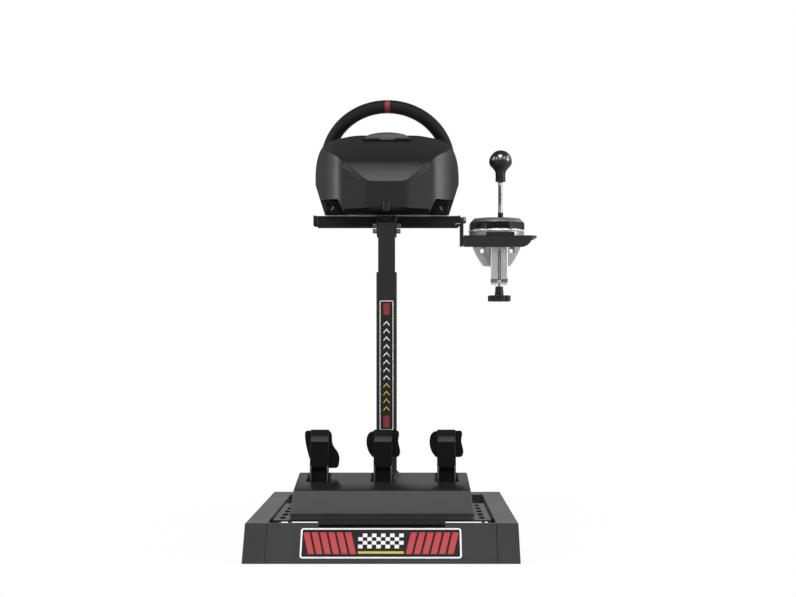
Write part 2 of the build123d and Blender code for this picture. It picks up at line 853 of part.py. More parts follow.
with BuildPart() as button_pods:
    with BuildSketch(wheel_plane.offset(-spoke_drop)):
        with Locations((-pod_out, 0), (pod_out, 0)):
            RectangleRounded(pod_width, pod_height, pod_radius)
    extrude(amount=pod_depth)
    chamfer(button_pods.edges().group_by(wheel_line)[-1], length=hub_face_chamfer)
save(button_pods, "button_pods")

# Shift paddles on the hub, behind the spokes
with BuildPart() as paddles:
    with BuildSketch(wheel_plane.offset(-spoke_back - paddle_gap - paddle_sheet)):
        for side in (-1, 1):
            with Locations((side * paddle_reach / 2, paddle_height / 6)):
                RectangleRounded(paddle_reach, paddle_height, paddle_radius)
        Circle(hub_r + seat_gap, mode=Mode.SUBTRACT)
        Rectangle(hub_r, rim_r, mode=Mode.SUBTRACT)
    extrude(amount=paddle_sheet)
save(paddles, "paddles")

# Shifter bracket: a flange under the deck's edge, a bar bolted to it and a shelf
shelf_top = deck_top - shelf_drop
shelf_bottom = shelf_top - shelf_lip
bar_outer = deck_half + arm_bar_sheet
bar_top = deck_top - arm_bar_drop
bar_bottom = shelf_bottom + arm_bar_lift
bar_middle = arm_bar_front + arm_bar_depth / 2
shelf_right = bar_outer + shelf_length
lip_right = bar_outer + shelf_lip_length
shelf_middle = shelf_front + shelf_depth / 2
with BuildPart() as side_flange:
    with BuildSketch(Plane.YZ.offset(deck_half - deck_sheet)):
        with Locations((deck_front + deck_sheet + side_lip / 2, deck_under - side_lip_height / 2)):
            Rectangle(side_lip, side_lip_height)
    extrude(amount=deck_sheet)
save(side_flange, "plate_side_flange")

with BuildPart() as shifter_bracket:
    with BuildSketch(Plane.YZ.offset(deck_half)):
        with Locations((bar_middle, (bar_bottom + bar_top) / 2)):
            Rectangle(arm_bar_depth, bar_top - bar_bottom)
    extrude(amount=arm_bar_sheet)
    fillet(shifter_bracket.edges().filter_by(Axis.X).group_by(Axis.Z)[-1], radius=arm_bar_radius)
save(shifter_bracket, "shifter_bracket")

with BuildPart() as bracket_bolts:
    with BuildSketch(Plane.YZ.offset(bar_outer)):
        with Locations((bar_middle, deck_top - bar_bolt_drop)):
            with GridLocations(bar_bolt_pitch, 0, 2, 1):
                RegularPolygon(bar_bolt_r, 6)
    extrude(amount=bar_bolt_head)
save(bracket_bolts, "bracket_bolts")

shift_x = bar_outer + unit_reach
lever_x = shift_x + lever_offset
with BuildPart() as shifter_shelf:
    with BuildSketch(Plane.XY.offset(shelf_top - shelf_sheet)):
        with Locations(((bar_outer + shelf_right) / 2, shelf_middle)):
            Rectangle(shelf_length, shelf_depth)
        with Locations((shift_x, shift_y)):
            Circle(well_r, mode=Mode.SUBTRACT)
    extrude(amount=shelf_sheet)
    fillet(shifter_shelf.edges().filter_by(Axis.Z).group_by(Axis.X)[-1], radius=shelf_lip_radius)
    with BuildSketch(Plane.XZ.offset(-shelf_front)):
        with BuildLine():
            low = Line((bar_outer, shelf_bottom), (lip_right - shelf_lip_radius, shelf_bottom))
            RadiusArc(low @ 1, (lip_right, shelf_bottom + shelf_lip_radius), -shelf_lip_radius)
            Polyline(
                (lip_right, shelf_bottom + shelf_lip_radius), (lip_right, shelf_top),
                (bar_outer, shelf_top), low @ 0,
            )
        make_face()
    extrude(amount=-shelf_sheet)
    with BuildSketch(Plane.YZ.offset(bar_outer)):
        with Locations((shelf_middle, shelf_top - shelf_side_lip / 2)):
            Rectangle(shelf_depth, shelf_side_lip)
    extrude(amount=shelf_sheet)
save(shifter_shelf, "shifter_shelf")

# Shifter body: a turned bowl that hangs through the shelf, its flange on the shelf
bowl_bottom = shelf_top - bowl_depth
rim_z = shelf_top - bowl_rim
flange_top = shelf_top + flange_height
cap_top = flange_top + cap_height
gate_top = cap_top - gate_drop
lever_pivot = shelf_top - pivot_drop
clamp_x = shift_x + clamp_bar_shift
screw_y = clamp_bar_front + clamp_bar_depth / 2
trunnion_reach = cap_hole_r + trunnion_seat
shift_plane = Plane(origin=(shift_x, shift_y, 0), x_dir=(1, 0, 0), z_dir=(0, -1, 0))
shift_axis = Axis((shift_x, shift_y, 0), (0, 0, 1))
lever_plane = Plane(origin=(lever_x, shift_y, 0), x_dir=(1, 0, 0), z_dir=(0, -1, 0))
lever_axis = Axis((lever_x, shift_y, 0), (0, 0, 1))
with BuildPart() as shifter_body:
    with BuildSketch(shift_plane):
        with BuildLine():
            belly = Spline((bowl_low_r, bowl_bottom), (bowl_belly_r, shelf_top - bowl_belly), (bowl_r, rim_z))
            Polyline(
                belly @ 1, (bowl_r, shelf_top), (flange_r, shelf_top), (flange_r, flange_top),
                (0, flange_top), (0, bowl_bottom), belly @ 0,
            )
        make_face()
    revolve(axis=shift_axis)
    with BuildSketch(Plane.XY.offset(flange_top)):
        with Locations((lever_x, shift_y)):
            Circle(cap_hole_r)
    extrude(amount=-flange_height - bowl_rim, mode=Mode.SUBTRACT)
    with BuildSketch(Plane.XY.offset(bowl_bottom)):
        with Locations((clamp_x, screw_y)):
            Rectangle(clamp_bar_width + 2 * seat_gap, clamp_bar_depth + 2 * seat_gap)
        with Locations((clamp_x, screw_y - clamp_bar_depth)):
            Rectangle(clamp_bar_width + 2 * seat_gap, 2 * clamp_bar_depth)
    extrude(amount=bowl_depth, mode=Mode.SUBTRACT)
    with BuildSketch(Plane.XZ.offset(-shift_y)):
        with Locations((shift_x, rim_z - bowl_window_height / 2)):
            with GridLocations(2 * bowl_window_out, 0, 2, 1):
                Rectangle(bowl_window_width, bowl_window_height)
    extrude(amount=bowl_r, both=True, mode=Mode.SUBTRACT)
    with BuildSketch(Plane.XZ.offset(-shift_y)):
        with Locations((lever_x, lever_pivot)):
            Circle(trunnion_r + run_gap)
    extrude(amount=trunnion_reach, both=True, mode=Mode.SUBTRACT)
save(shifter_body, "shifter_body")

# Eight-sided cap with a bevel and a seat for the gate
with BuildPart() as shifter_cap:
    with BuildSketch(Plane.XY.offset(flange_top)):
        with Locations((shift_x, shift_y)):
            RegularPolygon(cap_width / 2, 8, major_radius=False, rotation=22.5)
    extrude(amount=cap_height)
    chamfer(shifter_cap.faces().sort_by(Axis.Z)[-1].edges(), length=cap_bevel)
    with BuildSketch(Plane.XY.offset(flange_top)):
        with Locations((lever_x, shift_y)):
            Circle(cap_hole_r)
    extrude(amount=cap_height, mode=Mode.SUBTRACT)
    with BuildSketch(Plane.XY.offset(gate_top - gate_sheet)):
        with Locations((lever_x, shift_y)):
            Circle(gate_seat_r)
    extrude(amount=cap_height, mode=Mode.SUBTRACT)
save(shifter_cap, "shifter_cap")

# Gate: three fore and aft tracks and a cross track for the lever's stem
gate_arm = gate_top - lever_pivot
track_half = stem_r / cos(radians(side_throw)) + gate_gap
side_reach = gate_arm * tan(radians(side_throw))
fore_reach = gate_arm * tan(radians(fore_throw)) / cos(radians(side_throw))
with BuildPart() as gate_plate:
    with BuildSketch(Plane.XY.offset(gate_top - gate_sheet)):
        with Locations((lever_x, shift_y)):
            Circle(gate_seat_r - seat_gap)
            Rectangle(2 * (side_reach + track_half), 2 * track_half, mode=Mode.SUBTRACT)
            with GridLocations(side_reach, 0, 3, 1):
                Rectangle(2 * track_half, 2 * (fore_reach + track_half), mode=Mode.SUBTRACT)
    extrude(amount=gate_sheet)
save(gate_plate, "gate_plate")

# Gimbal ring turns side to side on trunnions, the lever fore and aft in the ring
with BuildPart() as lever_gimbal:
    with BuildSketch(Plane.XY.offset(lever_pivot - ring_height / 2)):
        with Locations((lever_x, shift_y)):
            Rectangle(ring_width, ring_width)
            Rectangle(ring_hole, ring_hole, mode=Mode.SUBTRACT)
    extrude(amount=ring_height)
    for side in (-1, 1):
        with BuildSketch(Plane.XZ.offset(-shift_y - side * ring_width / 2)):
            with Locations((lever_x, lever_pivot)):
                Circle(trunnion_r)
        extrude(amount=-side * (trunnion_reach - ring_width / 2))
    with BuildSketch(Plane.YZ.offset(lever_x - ring_width / 2)):
        with Locations((shift_y, lever_pivot)):
            Circle(trunnion_r + run_gap)
    extrude(amount=ring_width, mode=Mode.SUBTRACT)
save(lever_gimbal, "lever_gimbal")

collar_low = cap_top + collar_rise
rod_top = cap_top + rod_rise
with BuildPart() as lever_rod:
    with BuildSketch(lever_plane):
        with BuildLine():
            Polyline(
                (0, lever_pivot - ring_height), (stem_r, lever_pivot - ring_height), (stem_r, collar_low),
                (stem_collar_r, collar_low), (stem_collar_r, collar_low + stem_collar_height),
                (rod_r, collar_low + stem_collar_height), (rod_r, rod_top), (0, rod_top), close=True,
            )
        make_face()
    revolve(axis=lever_axis)
    with BuildSketch(Plane.YZ.offset(lever_x - ring_width / 2)):
        with Locations((shift_y, lever_pivot)):
            Circle(trunnion_r)
    extrude(amount=ring_width)
save(lever_rod, "lever_rod")

knob_z = rod_top + knob_rise


# Knob: a turned ball on a flared neck, split at its middle
def knob(mode, name):
    with BuildPart() as ball:
        with BuildSketch(lever_plane):
            with BuildLine():
                foot = Line((0, rod_top), (knob_neck_r, rod_top))
                neck = Line(foot @ 1, (knob_neck_r, rod_top + knob_neck))
                flare = Spline(neck @ 1, (knob_r, knob_z), tangents=((0, 1), (0, 1)))
                RadiusArc(flare @ 1, (0, knob_z + knob_r), -knob_r)
                Line((0, knob_z + knob_r), (0, rod_top))
            make_face()
        revolve(axis=lever_axis)
        with BuildSketch(Plane.XY.offset(knob_z)):
            with Locations((lever_x, shift_y)):
                Circle(2 * knob_r)
        extrude(amount=2 * knob_r, mode=mode)
    save(ball, name)


knob(Mode.SUBTRACT, "shift_knob")
knob(Mode.INTERSECT, "knob_cap")

# Clamp bar with a slot for its screw, and the screw with its handle
clamp_bottom = shelf_top - clamp_bar_length
screw_low = clamp_bottom - handle_gap
handle_top = screw_low - handle_neck
with BuildPart() as shifter_clamp:
    with BuildSketch(Plane.XY.offset(clamp_bottom)):
        with Locations((clamp_x, screw_y)):
            Rectangle(clamp_bar_width, clamp_bar_depth)
    extrude(amount=clamp_bar_length)
    chamfer(shifter_clamp.edges().filter_by(Axis.Z), length=clamp_bar_chamfer)
    with BuildSketch(Plane.XY.offset(clamp_bottom + clamp_bar_foot)):
        with Locations((clamp_x, screw_y - clamp_bar_depth / 4)):
            Rectangle(screw_slot, clamp_bar_depth)
    extrude(amount=screw_length - handle_gap - clamp_bar_foot + slot_end, mode=Mode.SUBTRACT)
    with BuildSketch(Plane.XY.offset(clamp_bottom)):
        with Locations((clamp_x, screw_y)):
            Circle(screw_r + run_gap)
    extrude(amount=clamp_bar_foot, mode=Mode.SUBTRACT)
save(shifter_clamp, "shifter_clamp")

with BuildPart() as clamp_screw:
    with BuildSketch(Plane.XY.offset(screw_low)):
        with Locations((clamp_x, screw_y)):
            Circle(screw_r)
    extrude(amount=screw_length)
save(clamp_screw, "clamp_screw")

with BuildPart() as clamp_handle:
    with BuildSketch(Plane.XY.offset(handle_top - handle_height)):
        with Locations((clamp_x, screw_y)):
            Circle(handle_r)
            with PolarLocations(handle_r + handle_lobe_out, handle_lobes):
                Circle(handle_lobe_r, mode=Mode.SUBTRACT)
    extrude(amount=handle_height)
    chamfer(clamp_handle.faces().filter_by(Axis.Z).edges(), length=handle_chamfer)
    with BuildSketch(Plane.XY.offset(handle_top)):
        with Locations((clamp_x, screw_y)):
            Circle(handle_foot_r)
    with BuildSketch(Plane.XY.offset(screw_low)):
        with Locations((clamp_x, screw_y)):
            Circle(handle_neck_r)
    loft()
save(clamp_handle, "clamp_handle")
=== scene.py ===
import math

import bpy
from mathutils import Matrix, Vector


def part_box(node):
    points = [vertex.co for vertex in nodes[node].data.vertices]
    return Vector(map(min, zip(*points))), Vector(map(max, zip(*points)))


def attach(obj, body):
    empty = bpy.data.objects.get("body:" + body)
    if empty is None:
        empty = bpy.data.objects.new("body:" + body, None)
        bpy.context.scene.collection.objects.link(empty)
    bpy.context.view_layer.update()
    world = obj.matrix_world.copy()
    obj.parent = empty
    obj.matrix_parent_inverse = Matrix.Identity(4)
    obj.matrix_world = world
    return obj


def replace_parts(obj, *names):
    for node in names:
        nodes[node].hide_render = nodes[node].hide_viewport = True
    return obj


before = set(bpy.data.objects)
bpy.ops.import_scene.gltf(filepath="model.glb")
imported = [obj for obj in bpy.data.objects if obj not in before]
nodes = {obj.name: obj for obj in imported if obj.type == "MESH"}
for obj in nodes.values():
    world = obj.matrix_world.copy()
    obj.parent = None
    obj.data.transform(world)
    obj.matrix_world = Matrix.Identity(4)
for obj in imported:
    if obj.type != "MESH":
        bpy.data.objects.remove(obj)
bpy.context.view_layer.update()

scene = bpy.context.scene
mm = 0.001
print("frame loaded:", len(nodes), "nodes")


# lengths given in millimetres, alone or in tuples, turned to metres
def metres(value):
    return tuple(metres(part) for part in value) if isinstance(value, tuple) else value * mm


def lengths(**values):
    return {name: metres(value) for name, value in values.items()}


# one output of a shader node, with Python operators for its maths
class Wire:
    def __init__(self, nodeTree, socket):
        self.nodeTree = nodeTree
        self.socket = socket

    def maths(self, operation, first, second):
        return self.nodeTree.node("ShaderNodeMath", {"operation": operation}, {0: first, 1: second})

    def __add__(self, other):
        return self.maths("ADD", self, other)

    def __radd__(self, other):
        return self.maths("ADD", other, self)

    def __sub__(self, other):
        return self.maths("SUBTRACT", self, other)

    def __rsub__(self, other):
        return self.maths("SUBTRACT", other, self)

    def __mul__(self, other):
        return self.maths("MULTIPLY", self, other)

    def __rmul__(self, other):
        return self.maths("MULTIPLY", other, self)


# a node tree: node() makes any node, join() feeds a socket
class NodeTree:
    def __init__(self, tree):
        self.tree = tree

    def node(self, kind, settings=None, sockets=None, output=0):
        made = self.tree.nodes.new(kind)
        for name, value in (settings or {}).items():
            setattr(made, name, value)
        for name, value in (sockets or {}).items():
            self.join(made.inputs[name], value)
        return Wire(self, made.outputs[output])

    def join(self, socket, value):
        if isinstance(value, Wire):
            self.tree.links.new(value.socket, socket)
        else:
            socket.default_value = value

    def ray(self, kind):
        return self.node("ShaderNodeLightPath", output=f"Is {kind} Ray")

    def ramp(self, value, start, end, low=0.0, high=1.0, curve="LINEAR"):
        return self.node("ShaderNodeMapRange", {"interpolation_type": curve},
                         {0: value, 1: start, 2: end, 3: low, 4: high})


# one material on Object coordinates: give() feeds its shader
class Finish(NodeTree):
    def __init__(self, name):
        self.material = bpy.data.materials.new(name)
        self.material.use_nodes = True
        super().__init__(self.material.node_tree)
        self.shader = self.tree.nodes["Principled BSDF"]
        self.where = self.node("ShaderNodeTexCoord", output="Object")

    def give(self, values):
        for name, value in values.items():
            self.join(self.shader.inputs[name], value)
        return self.material

    def noise(self, scale, detail=2.0, rough=0.5):
        return self.node("ShaderNodeTexNoise", sockets={
            "Vector": self.where, "Scale": scale, "Detail": detail, "Roughness": rough})

    def cells(self, feature, scale):
        return self.node("ShaderNodeTexVoronoi", {"feature": feature},
                         {"Vector": self.where, "Scale": scale})

    def along(self, axis, ends):
        place = self.node("ShaderNodeSeparateXYZ", sockets={0: self.where}, output=axis)
        return self.ramp(place, *ends)

    def blend(self, factor, first, second):
        return self.node("ShaderNodeMix", {"data_type": "RGBA"}, {0: factor, 6: first, 7: second}, 2)

    def bump(self, height, strength, distance):
        return self.node("ShaderNodeBump", sockets={
            "Strength": strength, "Distance": distance, "Height": height})


def grey(level, tint=1.0):
    return (level, level, level * tint, 1.0)


def darker(colour, share):
    return tuple(part * share for part in colour[:3]) + (1.0,)


# satin powder coat: fine orange peel and a slight cloud in tone
def powderCoat(name, tone, rough=0.4, shine=0.45):
    finish = Finish(name)
    cloud = finish.noise(14.0, 3.0)
    peel = finish.noise(900.0)
    return finish.give({
        "Base Color": finish.blend(cloud, grey(tone * 0.86, 1.02), grey(tone * 1.16, 1.02)),
        "Roughness": rough + 0.16 * (cloud - 0.5) + 0.06 * (peel - 0.5),
        "Normal": finish.bump(peel, 0.16, 0.3 * mm),
        "Specular IOR Level": shine,
    })


# the spark-eroded grain of moulded plastic
grain = {"scale": 1500.0, "strength": 0.2, "depth": 0.15 * mm, "rough": 0.1, "level": 0.4}


# feeds a plastic's shader, with the grain over its colour and roughness
def givePlastic(finish, colour, rough, shine, scale=grain["scale"]):
    pits = finish.cells("SMOOTH_F1", scale)
    return finish.give({
        "Base Color": colour,
        "Roughness": rough + grain["rough"] * (pits - grain["level"]),
        "Normal": finish.bump(pits, grain["strength"], grain["depth"]),
        "Specular IOR Level": shine,
    })


# a slight cloud in the tone of a plastic, and in its roughness
def plasticCloud(finish, tone):
    cloud = finish.noise(20.0)
    return finish.blend(cloud, grey(tone * 0.9), grey(tone * 1.12)), 0.1 * (cloud - 0.5)


def mouldedPlastic(name, tone, rough=0.46, shine=0.5, scale=grain["scale"]):
    finish = Finish(name)
    colour, uneven = plasticCloud(finish, tone)
    return givePlastic(finish, colour, rough + uneven, shine, scale)


# plastic that fades from one height to another: each end is a tone and a height; it paints light and shade
# that change with height
def fadingPlastic(name, low, high, rough=0.46, rougher=0.0, shine=0.5):
    finish = Finish(name)
    rise = finish.along("Z", (low[1], high[1]))
    colour = finish.blend(rise, grey(low[0]), grey(high[0]))
    return givePlastic(finish, colour, rough + rougher * rise, shine)


# the wheel unit's shell: duller towards its sides, and a little lighter towards its top, which paints the
# light falling on its roof
unitTone = {"tone": 0.0075, "topTone": 0.016, "rough": 0.36, "duller": 0.36, "shine": 0.42,
            "left": (-100 * mm, -122 * mm), "right": (109 * mm, 132 * mm), "top": (718 * mm, 760 * mm)}


def shellPlastic(name):
    finish = Finish(name)
    body, uneven = plasticCloud(finish, unitTone["tone"])
    dull = finish.along("X", unitTone["left"]) + finish.along("X", unitTone["right"])
    colour = finish.blend(finish.along("Z", unitTone["top"]), body, grey(unitTone["topTone"]))
    rough = unitTone["rough"] + unitTone["duller"] * dull + uneven
    return givePlastic(finish, colour, rough, unitTone["shine"])


# polished surface with the faintest handling marks
def polished(name, colour, rough, metal):
    finish = Finish(name)
    smear = finish.noise(60.0, 4.0, 0.6)
    return finish.give({
        "Base Color": finish.blend(smear, darker(colour, 0.94), colour),
        "Roughness": rough + 0.08 * smear,
        "Metallic": metal,
    })


# the shifter's cap: polished, less of a mirror towards its left side, which paints light onto that side
capTone = {"colour": (0.035, 0.035, 0.036, 1.0), "rough": 0.18, "less": 0.75, "left": (184 * mm, 174 * mm)}


def capShell(name):
    finish = Finish(name)
    return finish.give({
        "Base Color": capTone["colour"],
        "Roughness": capTone["rough"] + 0.08 * finish.noise(60.0, 4.0, 0.6),
        "Metallic": 1.0 - capTone["less"] * finish.along("X", capTone["left"]),
    })


# satin aluminium with a fine cast tooth
def satinAluminium(name, tone, metal=0.85):
    finish = Finish(name)
    tooth = finish.noise(1100.0)
    cloud = finish.noise(25.0, 3.0)
    return finish.give({
        "Base Color": finish.blend(cloud, grey(tone * 0.9), grey(tone * 1.06)),
        "Roughness": 0.34 + 0.1 * (tooth - 0.5) + 0.08 * (cloud - 0.5),
        "Metallic": metal,
        "Normal": finish.bump(tooth, 0.12, 0.2 * mm),
    })


# grip hide: small creased cells
def gripHide(name, colour, shine=0.5, rough=0.55):
    finish = Finish(name)
    edges = finish.cells("DISTANCE_TO_EDGE", 520.0) * 4.0
    crease = finish.node("ShaderNodeMath", {"operation": "MINIMUM"}, {0: edges, 1: 1.0})
    worn = finish.noise(30.0, 3.0)
    return finish.give({
        "Base Color": finish.blend(crease, darker(colour, 0.7), colour),
        "Roughness": rough + 0.14 * (worn - 0.5),
        "Normal": finish.bump(crease, 0.35, 0.25 * mm),
        "Specular IOR Level": shine,
    })


# printed film: flat ink, hardly shiny
def ink(name, colour, shine=0.12):
    finish = Finish(name)
    speck = finish.noise(700.0)
    cloud = finish.noise(18.0)
    return finish.give({
        "Base Color": finish.blend(0.5 * speck + 0.5 * cloud, darker(colour, 0.86), colour),
        "Roughness": 0.45 + 0.12 * (cloud - 0.5),
        "Normal": finish.bump(speck, 0.05, 0.1 * mm),
        "Specular IOR Level": shine,
    })


# each finish: the function that makes it, then its colour or tone and its further values in order
recipes = {
    "inkBlack": (ink, (0.008, 0.008, 0.009, 1.0)),
    "labelBlack": (ink, (0.021, 0.019, 0.018, 1.0)),
    "inkWhite": (ink, (0.86, 0.86, 0.87, 1.0)),
    "inkRed": (ink, (0.48, 0.06, 0.068, 1.0)),
    "inkDeepRed": (ink, (0.24, 0.04, 0.045, 1.0)),
    "inkYellow": (ink, (0.6, 0.5, 0.08, 1.0)),
    # the next finish serves real seams and also dark bars that paint shade
    "seamBlack": (mouldedPlastic, 0.003, 0.7),
    "shadeBlack": (mouldedPlastic, 0.003, 0.8, 0.02),
    # the next finish serves real trim and also strips that paint highlights
    "trimGrey": (mouldedPlastic, 0.06, 0.42),
    # the next finish paints the highlights on the ribs beside the window
    "ribGrey": (mouldedPlastic, 0.025, 0.42),
    # the next finish serves real bands and buttons, and also paints the light on the deck's bridge
    "bandGrey": (mouldedPlastic, 0.1, 0.4),
    # the next finish paints the highlight on the deck lip's upper edge
    "edgeGrey": (mouldedPlastic, 0.8, 0.5),
    "housingPlastic": (mouldedPlastic, 0.0075, 0.36, 0.42),
    "pedalPlastic": (mouldedPlastic, 0.085, 0.5, 0.03),
    "trayPlastic": (mouldedPlastic, 0.035, 0.42, 0.3),
    # the next finish is the pedal plastic made darker, which paints the shade on the pedal housing's top
    "ridgePlastic": (mouldedPlastic, 0.012, 0.2, 0.008),
    "darkPlastic": (mouldedPlastic, 0.008, 0.42, 0.3),
    "crestPlastic": (mouldedPlastic, 0.055),
    "footRubber": (mouldedPlastic, 0.015, 0.7, 0.5, 700.0),
    "unitShell": (shellPlastic,),
    # the next finish paints the highlight on the pedal arms' ramps, lightest at their foot
    "rampGrey": (fadingPlastic, (0.034, 186.4 * mm), (0.012, 195.3 * mm)),
    # the next finish paints the reflection on the wheel unit's window
    "windowFade": (fadingPlastic, (0.01, 686 * mm), (0.001, 708 * mm), 0.35, 0.25, 0.42),
    # the next finish paints the shade on the wheel unit's chin, darkest at its foot
    "chinFade": (fadingPlastic, (0.003, 613 * mm), (0.032, 624 * mm), 0.8, 0.0, 0.02),
    "capShell": (capShell,),
    "ringChrome": (polished, (0.9, 0.9, 0.91, 1.0), 0.18, 0.6),
    "capGloss": (polished, (0.035, 0.035, 0.036, 1.0), 0.18, 1.0),
    "knobGloss": (polished, (0.17, 0.17, 0.175, 1.0), 0.17, 1.0),
    "zincBolt": (polished, (0.44, 0.44, 0.45, 1.0), 0.3, 0.9),
    "dullBolt": (polished, (0.15, 0.15, 0.155, 1.0), 0.36, 0.9),
    "chromeRod": (polished, (0.4, 0.4, 0.41, 1.0), 0.1, 1.0),
    "capSilver": (satinAluminium, 0.36),
    "silverCast": (satinAluminium, 0.66),
    "bowlSilver": (satinAluminium, 0.34, 0.55),
    "blackSteel": (powderCoat, 0.012, 0.5, 0.3),
    "greySteel": (powderCoat, 0.02, 0.5, 0.2),
    # the next finish is the black steel made darker: painted shade for the deck, which lies under the wheel
    # unit
    "deckSteel": (powderCoat, 0.006, 0.5, 0.18),
    "shadeSteel": (powderCoat, 0.004, 0.7, 0.05),
    "pedalBlack": (powderCoat, 0.003, 0.5, 0.1),
    "spokeMetal": (powderCoat, 0.05, 0.32),
    "stitchGrey": (gripHide, (0.05, 0.05, 0.05, 1.0)),
    "gripHide": (gripHide, (0.009, 0.009, 0.0093, 1.0), 0.15),
    "redHide": (gripHide, (0.24, 0.009, 0.022, 1.0)),
}
finishes = {name: make(name, *values) for name, (make, *values) in recipes.items()}
nodeFinishes = {
    "blackSteel": ["left_rail", "right_rail", "front_panel", "rear_crossbar", "outer_tube", "inner_tube",
                   "column_gussets", "tilt_bracket", "shifter_bracket", "shifter_shelf"],
    "deckSteel": ["wheel_plate", "plate_side_flange"],
    "shadeSteel": ["plate_ledges"],
    "greySteel": ["pedal_plate"],
    "zincBolt": ["bracket_bolts", "pedal_shaft", "clamp_screw", "lever_gimbal"],
    "dullBolt": ["tilt_bolts"],
    "unitShell": ["wheel_base_housing"],
    "housingPlastic": ["shaft_collar", "wheel_hub"],
    "pedalPlastic": ["pedal_housing"],
    "trayPlastic": ["pedal_tray"],
    "darkPlastic": ["height_clamp", "clamp_handle", "gate_plate", "shift_knob", "rear_clip", "button_pods"],
    "crestPlastic": ["housing_crest"],
    "pedalBlack": ["throttle_arm", "throttle_pad", "brake_arm", "brake_pad", "clutch_arm", "clutch_pad",
                   "corner_pads"],
    "gripHide": ["wheel_rim"],
    "redHide": ["rim_marker"],
    "spokeMetal": ["wheel_spokes", "paddles", "hub_face"],
    "silverCast": ["shifter_clamp"],
    "bowlSilver": ["shifter_body"],
    "capShell": ["shifter_cap"],
    "knobGloss": ["knob_cap"],
    "chromeRod": ["lever_rod"],
    "footRubber": ["column_foot"],
}
for finishName, names in nodeFinishes.items():
    for name in names:
        for slot in nodes[name].material_slots:
            slot.material = finishes[finishName]
print("finishes set:", len(finishes))


# every piece starts with nothing else selected
def clearSelection():
    if bpy.context.mode != "OBJECT":
        bpy.ops.object.mode_set(mode="OBJECT")
    bpy.ops.object.select_all(action="DESELECT")


def makeActive(piece):
    clearSelection()
    piece.select_set(True)
    bpy.context.view_layer.objects.active = piece


def fixPlace(piece):
    makeActive(piece)
    bpy.ops.object.transform_apply(location=True, rotation=True, scale=True)


# adds a primitive by its operator, with the values that the operator takes
def startPiece(name, add, **values):
    clearSelection()
    add(**values)
    piece = bpy.context.active_object
    piece.name = name
    return piece


def startBlock(name, size, middle=(0, 0, 0)):
    block = startPiece(name, bpy.ops.mesh.primitive_cube_add, size=1, location=middle)
    block.scale = size
    bpy.ops.object.transform_apply(location=False, rotation=False, scale=True)
    return block


def startRound(name, radius, depth, middle=(0, 0, 0), sides=32):
    return startPiece(name, bpy.ops.mesh.primitive_cylinder_add, vertices=sides, radius=radius, depth=depth,
                      location=middle)


ringSides = 10  # faces round a ring's own section


def startRing(name, radius, thick, middle=(0, 0, 0), sides=64):
    return startPiece(name, bpy.ops.mesh.primitive_torus_add, major_radius=radius, minor_radius=thick,
                      major_segments=sides, minor_segments=ringSides, location=middle)


def startBall(name, radius, middle=(0, 0, 0), sides=64, rings=32):
    return startPiece(name, bpy.ops.mesh.primitive_uv_sphere_add, segments=sides, ring_count=rings,
                      radius=radius, location=middle)


# edit mode with nothing picked yet, then left again so that elements can be marked
def startPick(piece, kind):
    makeActive(piece)
    bpy.ops.object.mode_set(mode="EDIT")
    bpy.ops.mesh.select_mode(type=kind)
    bpy.ops.mesh.select_all(action="DESELECT")
    endEdit()


def endEdit():
    bpy.ops.object.mode_set(mode="OBJECT")


# edit mode with the faces or edges picked for which the test holds
def pickFaces(piece, test):
    startPick(piece, "FACE")
    for face in piece.data.polygons:
        face.select = test(face)
    bpy.ops.object.mode_set(mode="EDIT")


def pickEdges(piece, test):
    startPick(piece, "EDGE")
    points = piece.data.vertices
    for edge in piece.data.edges:
        edge.select = test(points[edge.vertices[0]].co, points[edge.vertices[1]].co)
    bpy.ops.object.mode_set(mode="EDIT")


def isTop(face):
    return face.normal.z > 0.9


def isUnder(face):
    return face.normal.z < -0.9


# moves, tapers or removes the faces for which the test holds; an inset comes first where it is given
def moveFaces(piece, test, offset, inset=None):
    pickFaces(piece, test)
    if inset:
        bpy.ops.mesh.inset(thickness=inset)
    bpy.ops.transform.translate(value=offset)
    endEdit()


def taperFaces(piece, test, scale):
    pickFaces(piece, test)
    bpy.ops.transform.resize(value=scale)
    endEdit()


def dropFaces(piece, test, inset=None):
    pickFaces(piece, test)
    if inset:
        bpy.ops.mesh.inset(thickness=inset)
    bpy.ops.mesh.delete(type="FACE")
    endEdit()


def applyModifiers(piece):
    makeActive(piece)
    for modifier in list(piece.modifiers):
        bpy.ops.object.modifier_apply(modifier=modifier.name)


def roundEdges(piece, width, steps=2, angle=40):
    bevel = piece.modifiers.new("edge", "BEVEL")
    bevel.width = width
    bevel.segments = steps
    bevel.limit_method = "ANGLE"
    bevel.angle_limit = math.radians(angle)
    applyModifiers(piece)


def thicken(piece, sheet):
    skin = piece.modifiers.new("sheet", "SOLIDIFY")
    skin.thickness = sheet
    skin.offset = 1.0
    applyModifiers(piece)


def repeat(piece, count, step):
    row = piece.modifiers.new("row", "ARRAY")
    row.count = count
    row.use_relative_offset = False
    row.use_constant_offset = True
    row.constant_offset_displace = step
    applyModifiers(piece)


# rounds the four corners of a thin plate that faces along Y
def roundCorners(piece, radius, steps=6):
    pickEdges(piece, lambda a, b: abs((a - b).y) > 0.9 * (a - b).length)
    bpy.ops.mesh.bevel(offset=radius, segments=steps, affect="EDGES")
    endEdit()


def joinPieces(name, pieces):
    for piece in pieces:
        fixPlace(piece)
    clearSelection()
    for piece in pieces:
        piece.select_set(True)
    bpy.context.view_layer.objects.active = pieces[0]
    bpy.ops.object.join()
    joined = bpy.context.active_object
    joined.name = name
    return joined


smoothAngle = math.radians(35)


def finishPiece(piece, finishName, body):
    fixPlace(piece)
    bpy.ops.object.shade_smooth_by_angle(angle=smoothAngle)
    piece.data.materials.clear()
    piece.data.materials.append(finishes[finishName])
    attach(piece, body)
    return piece


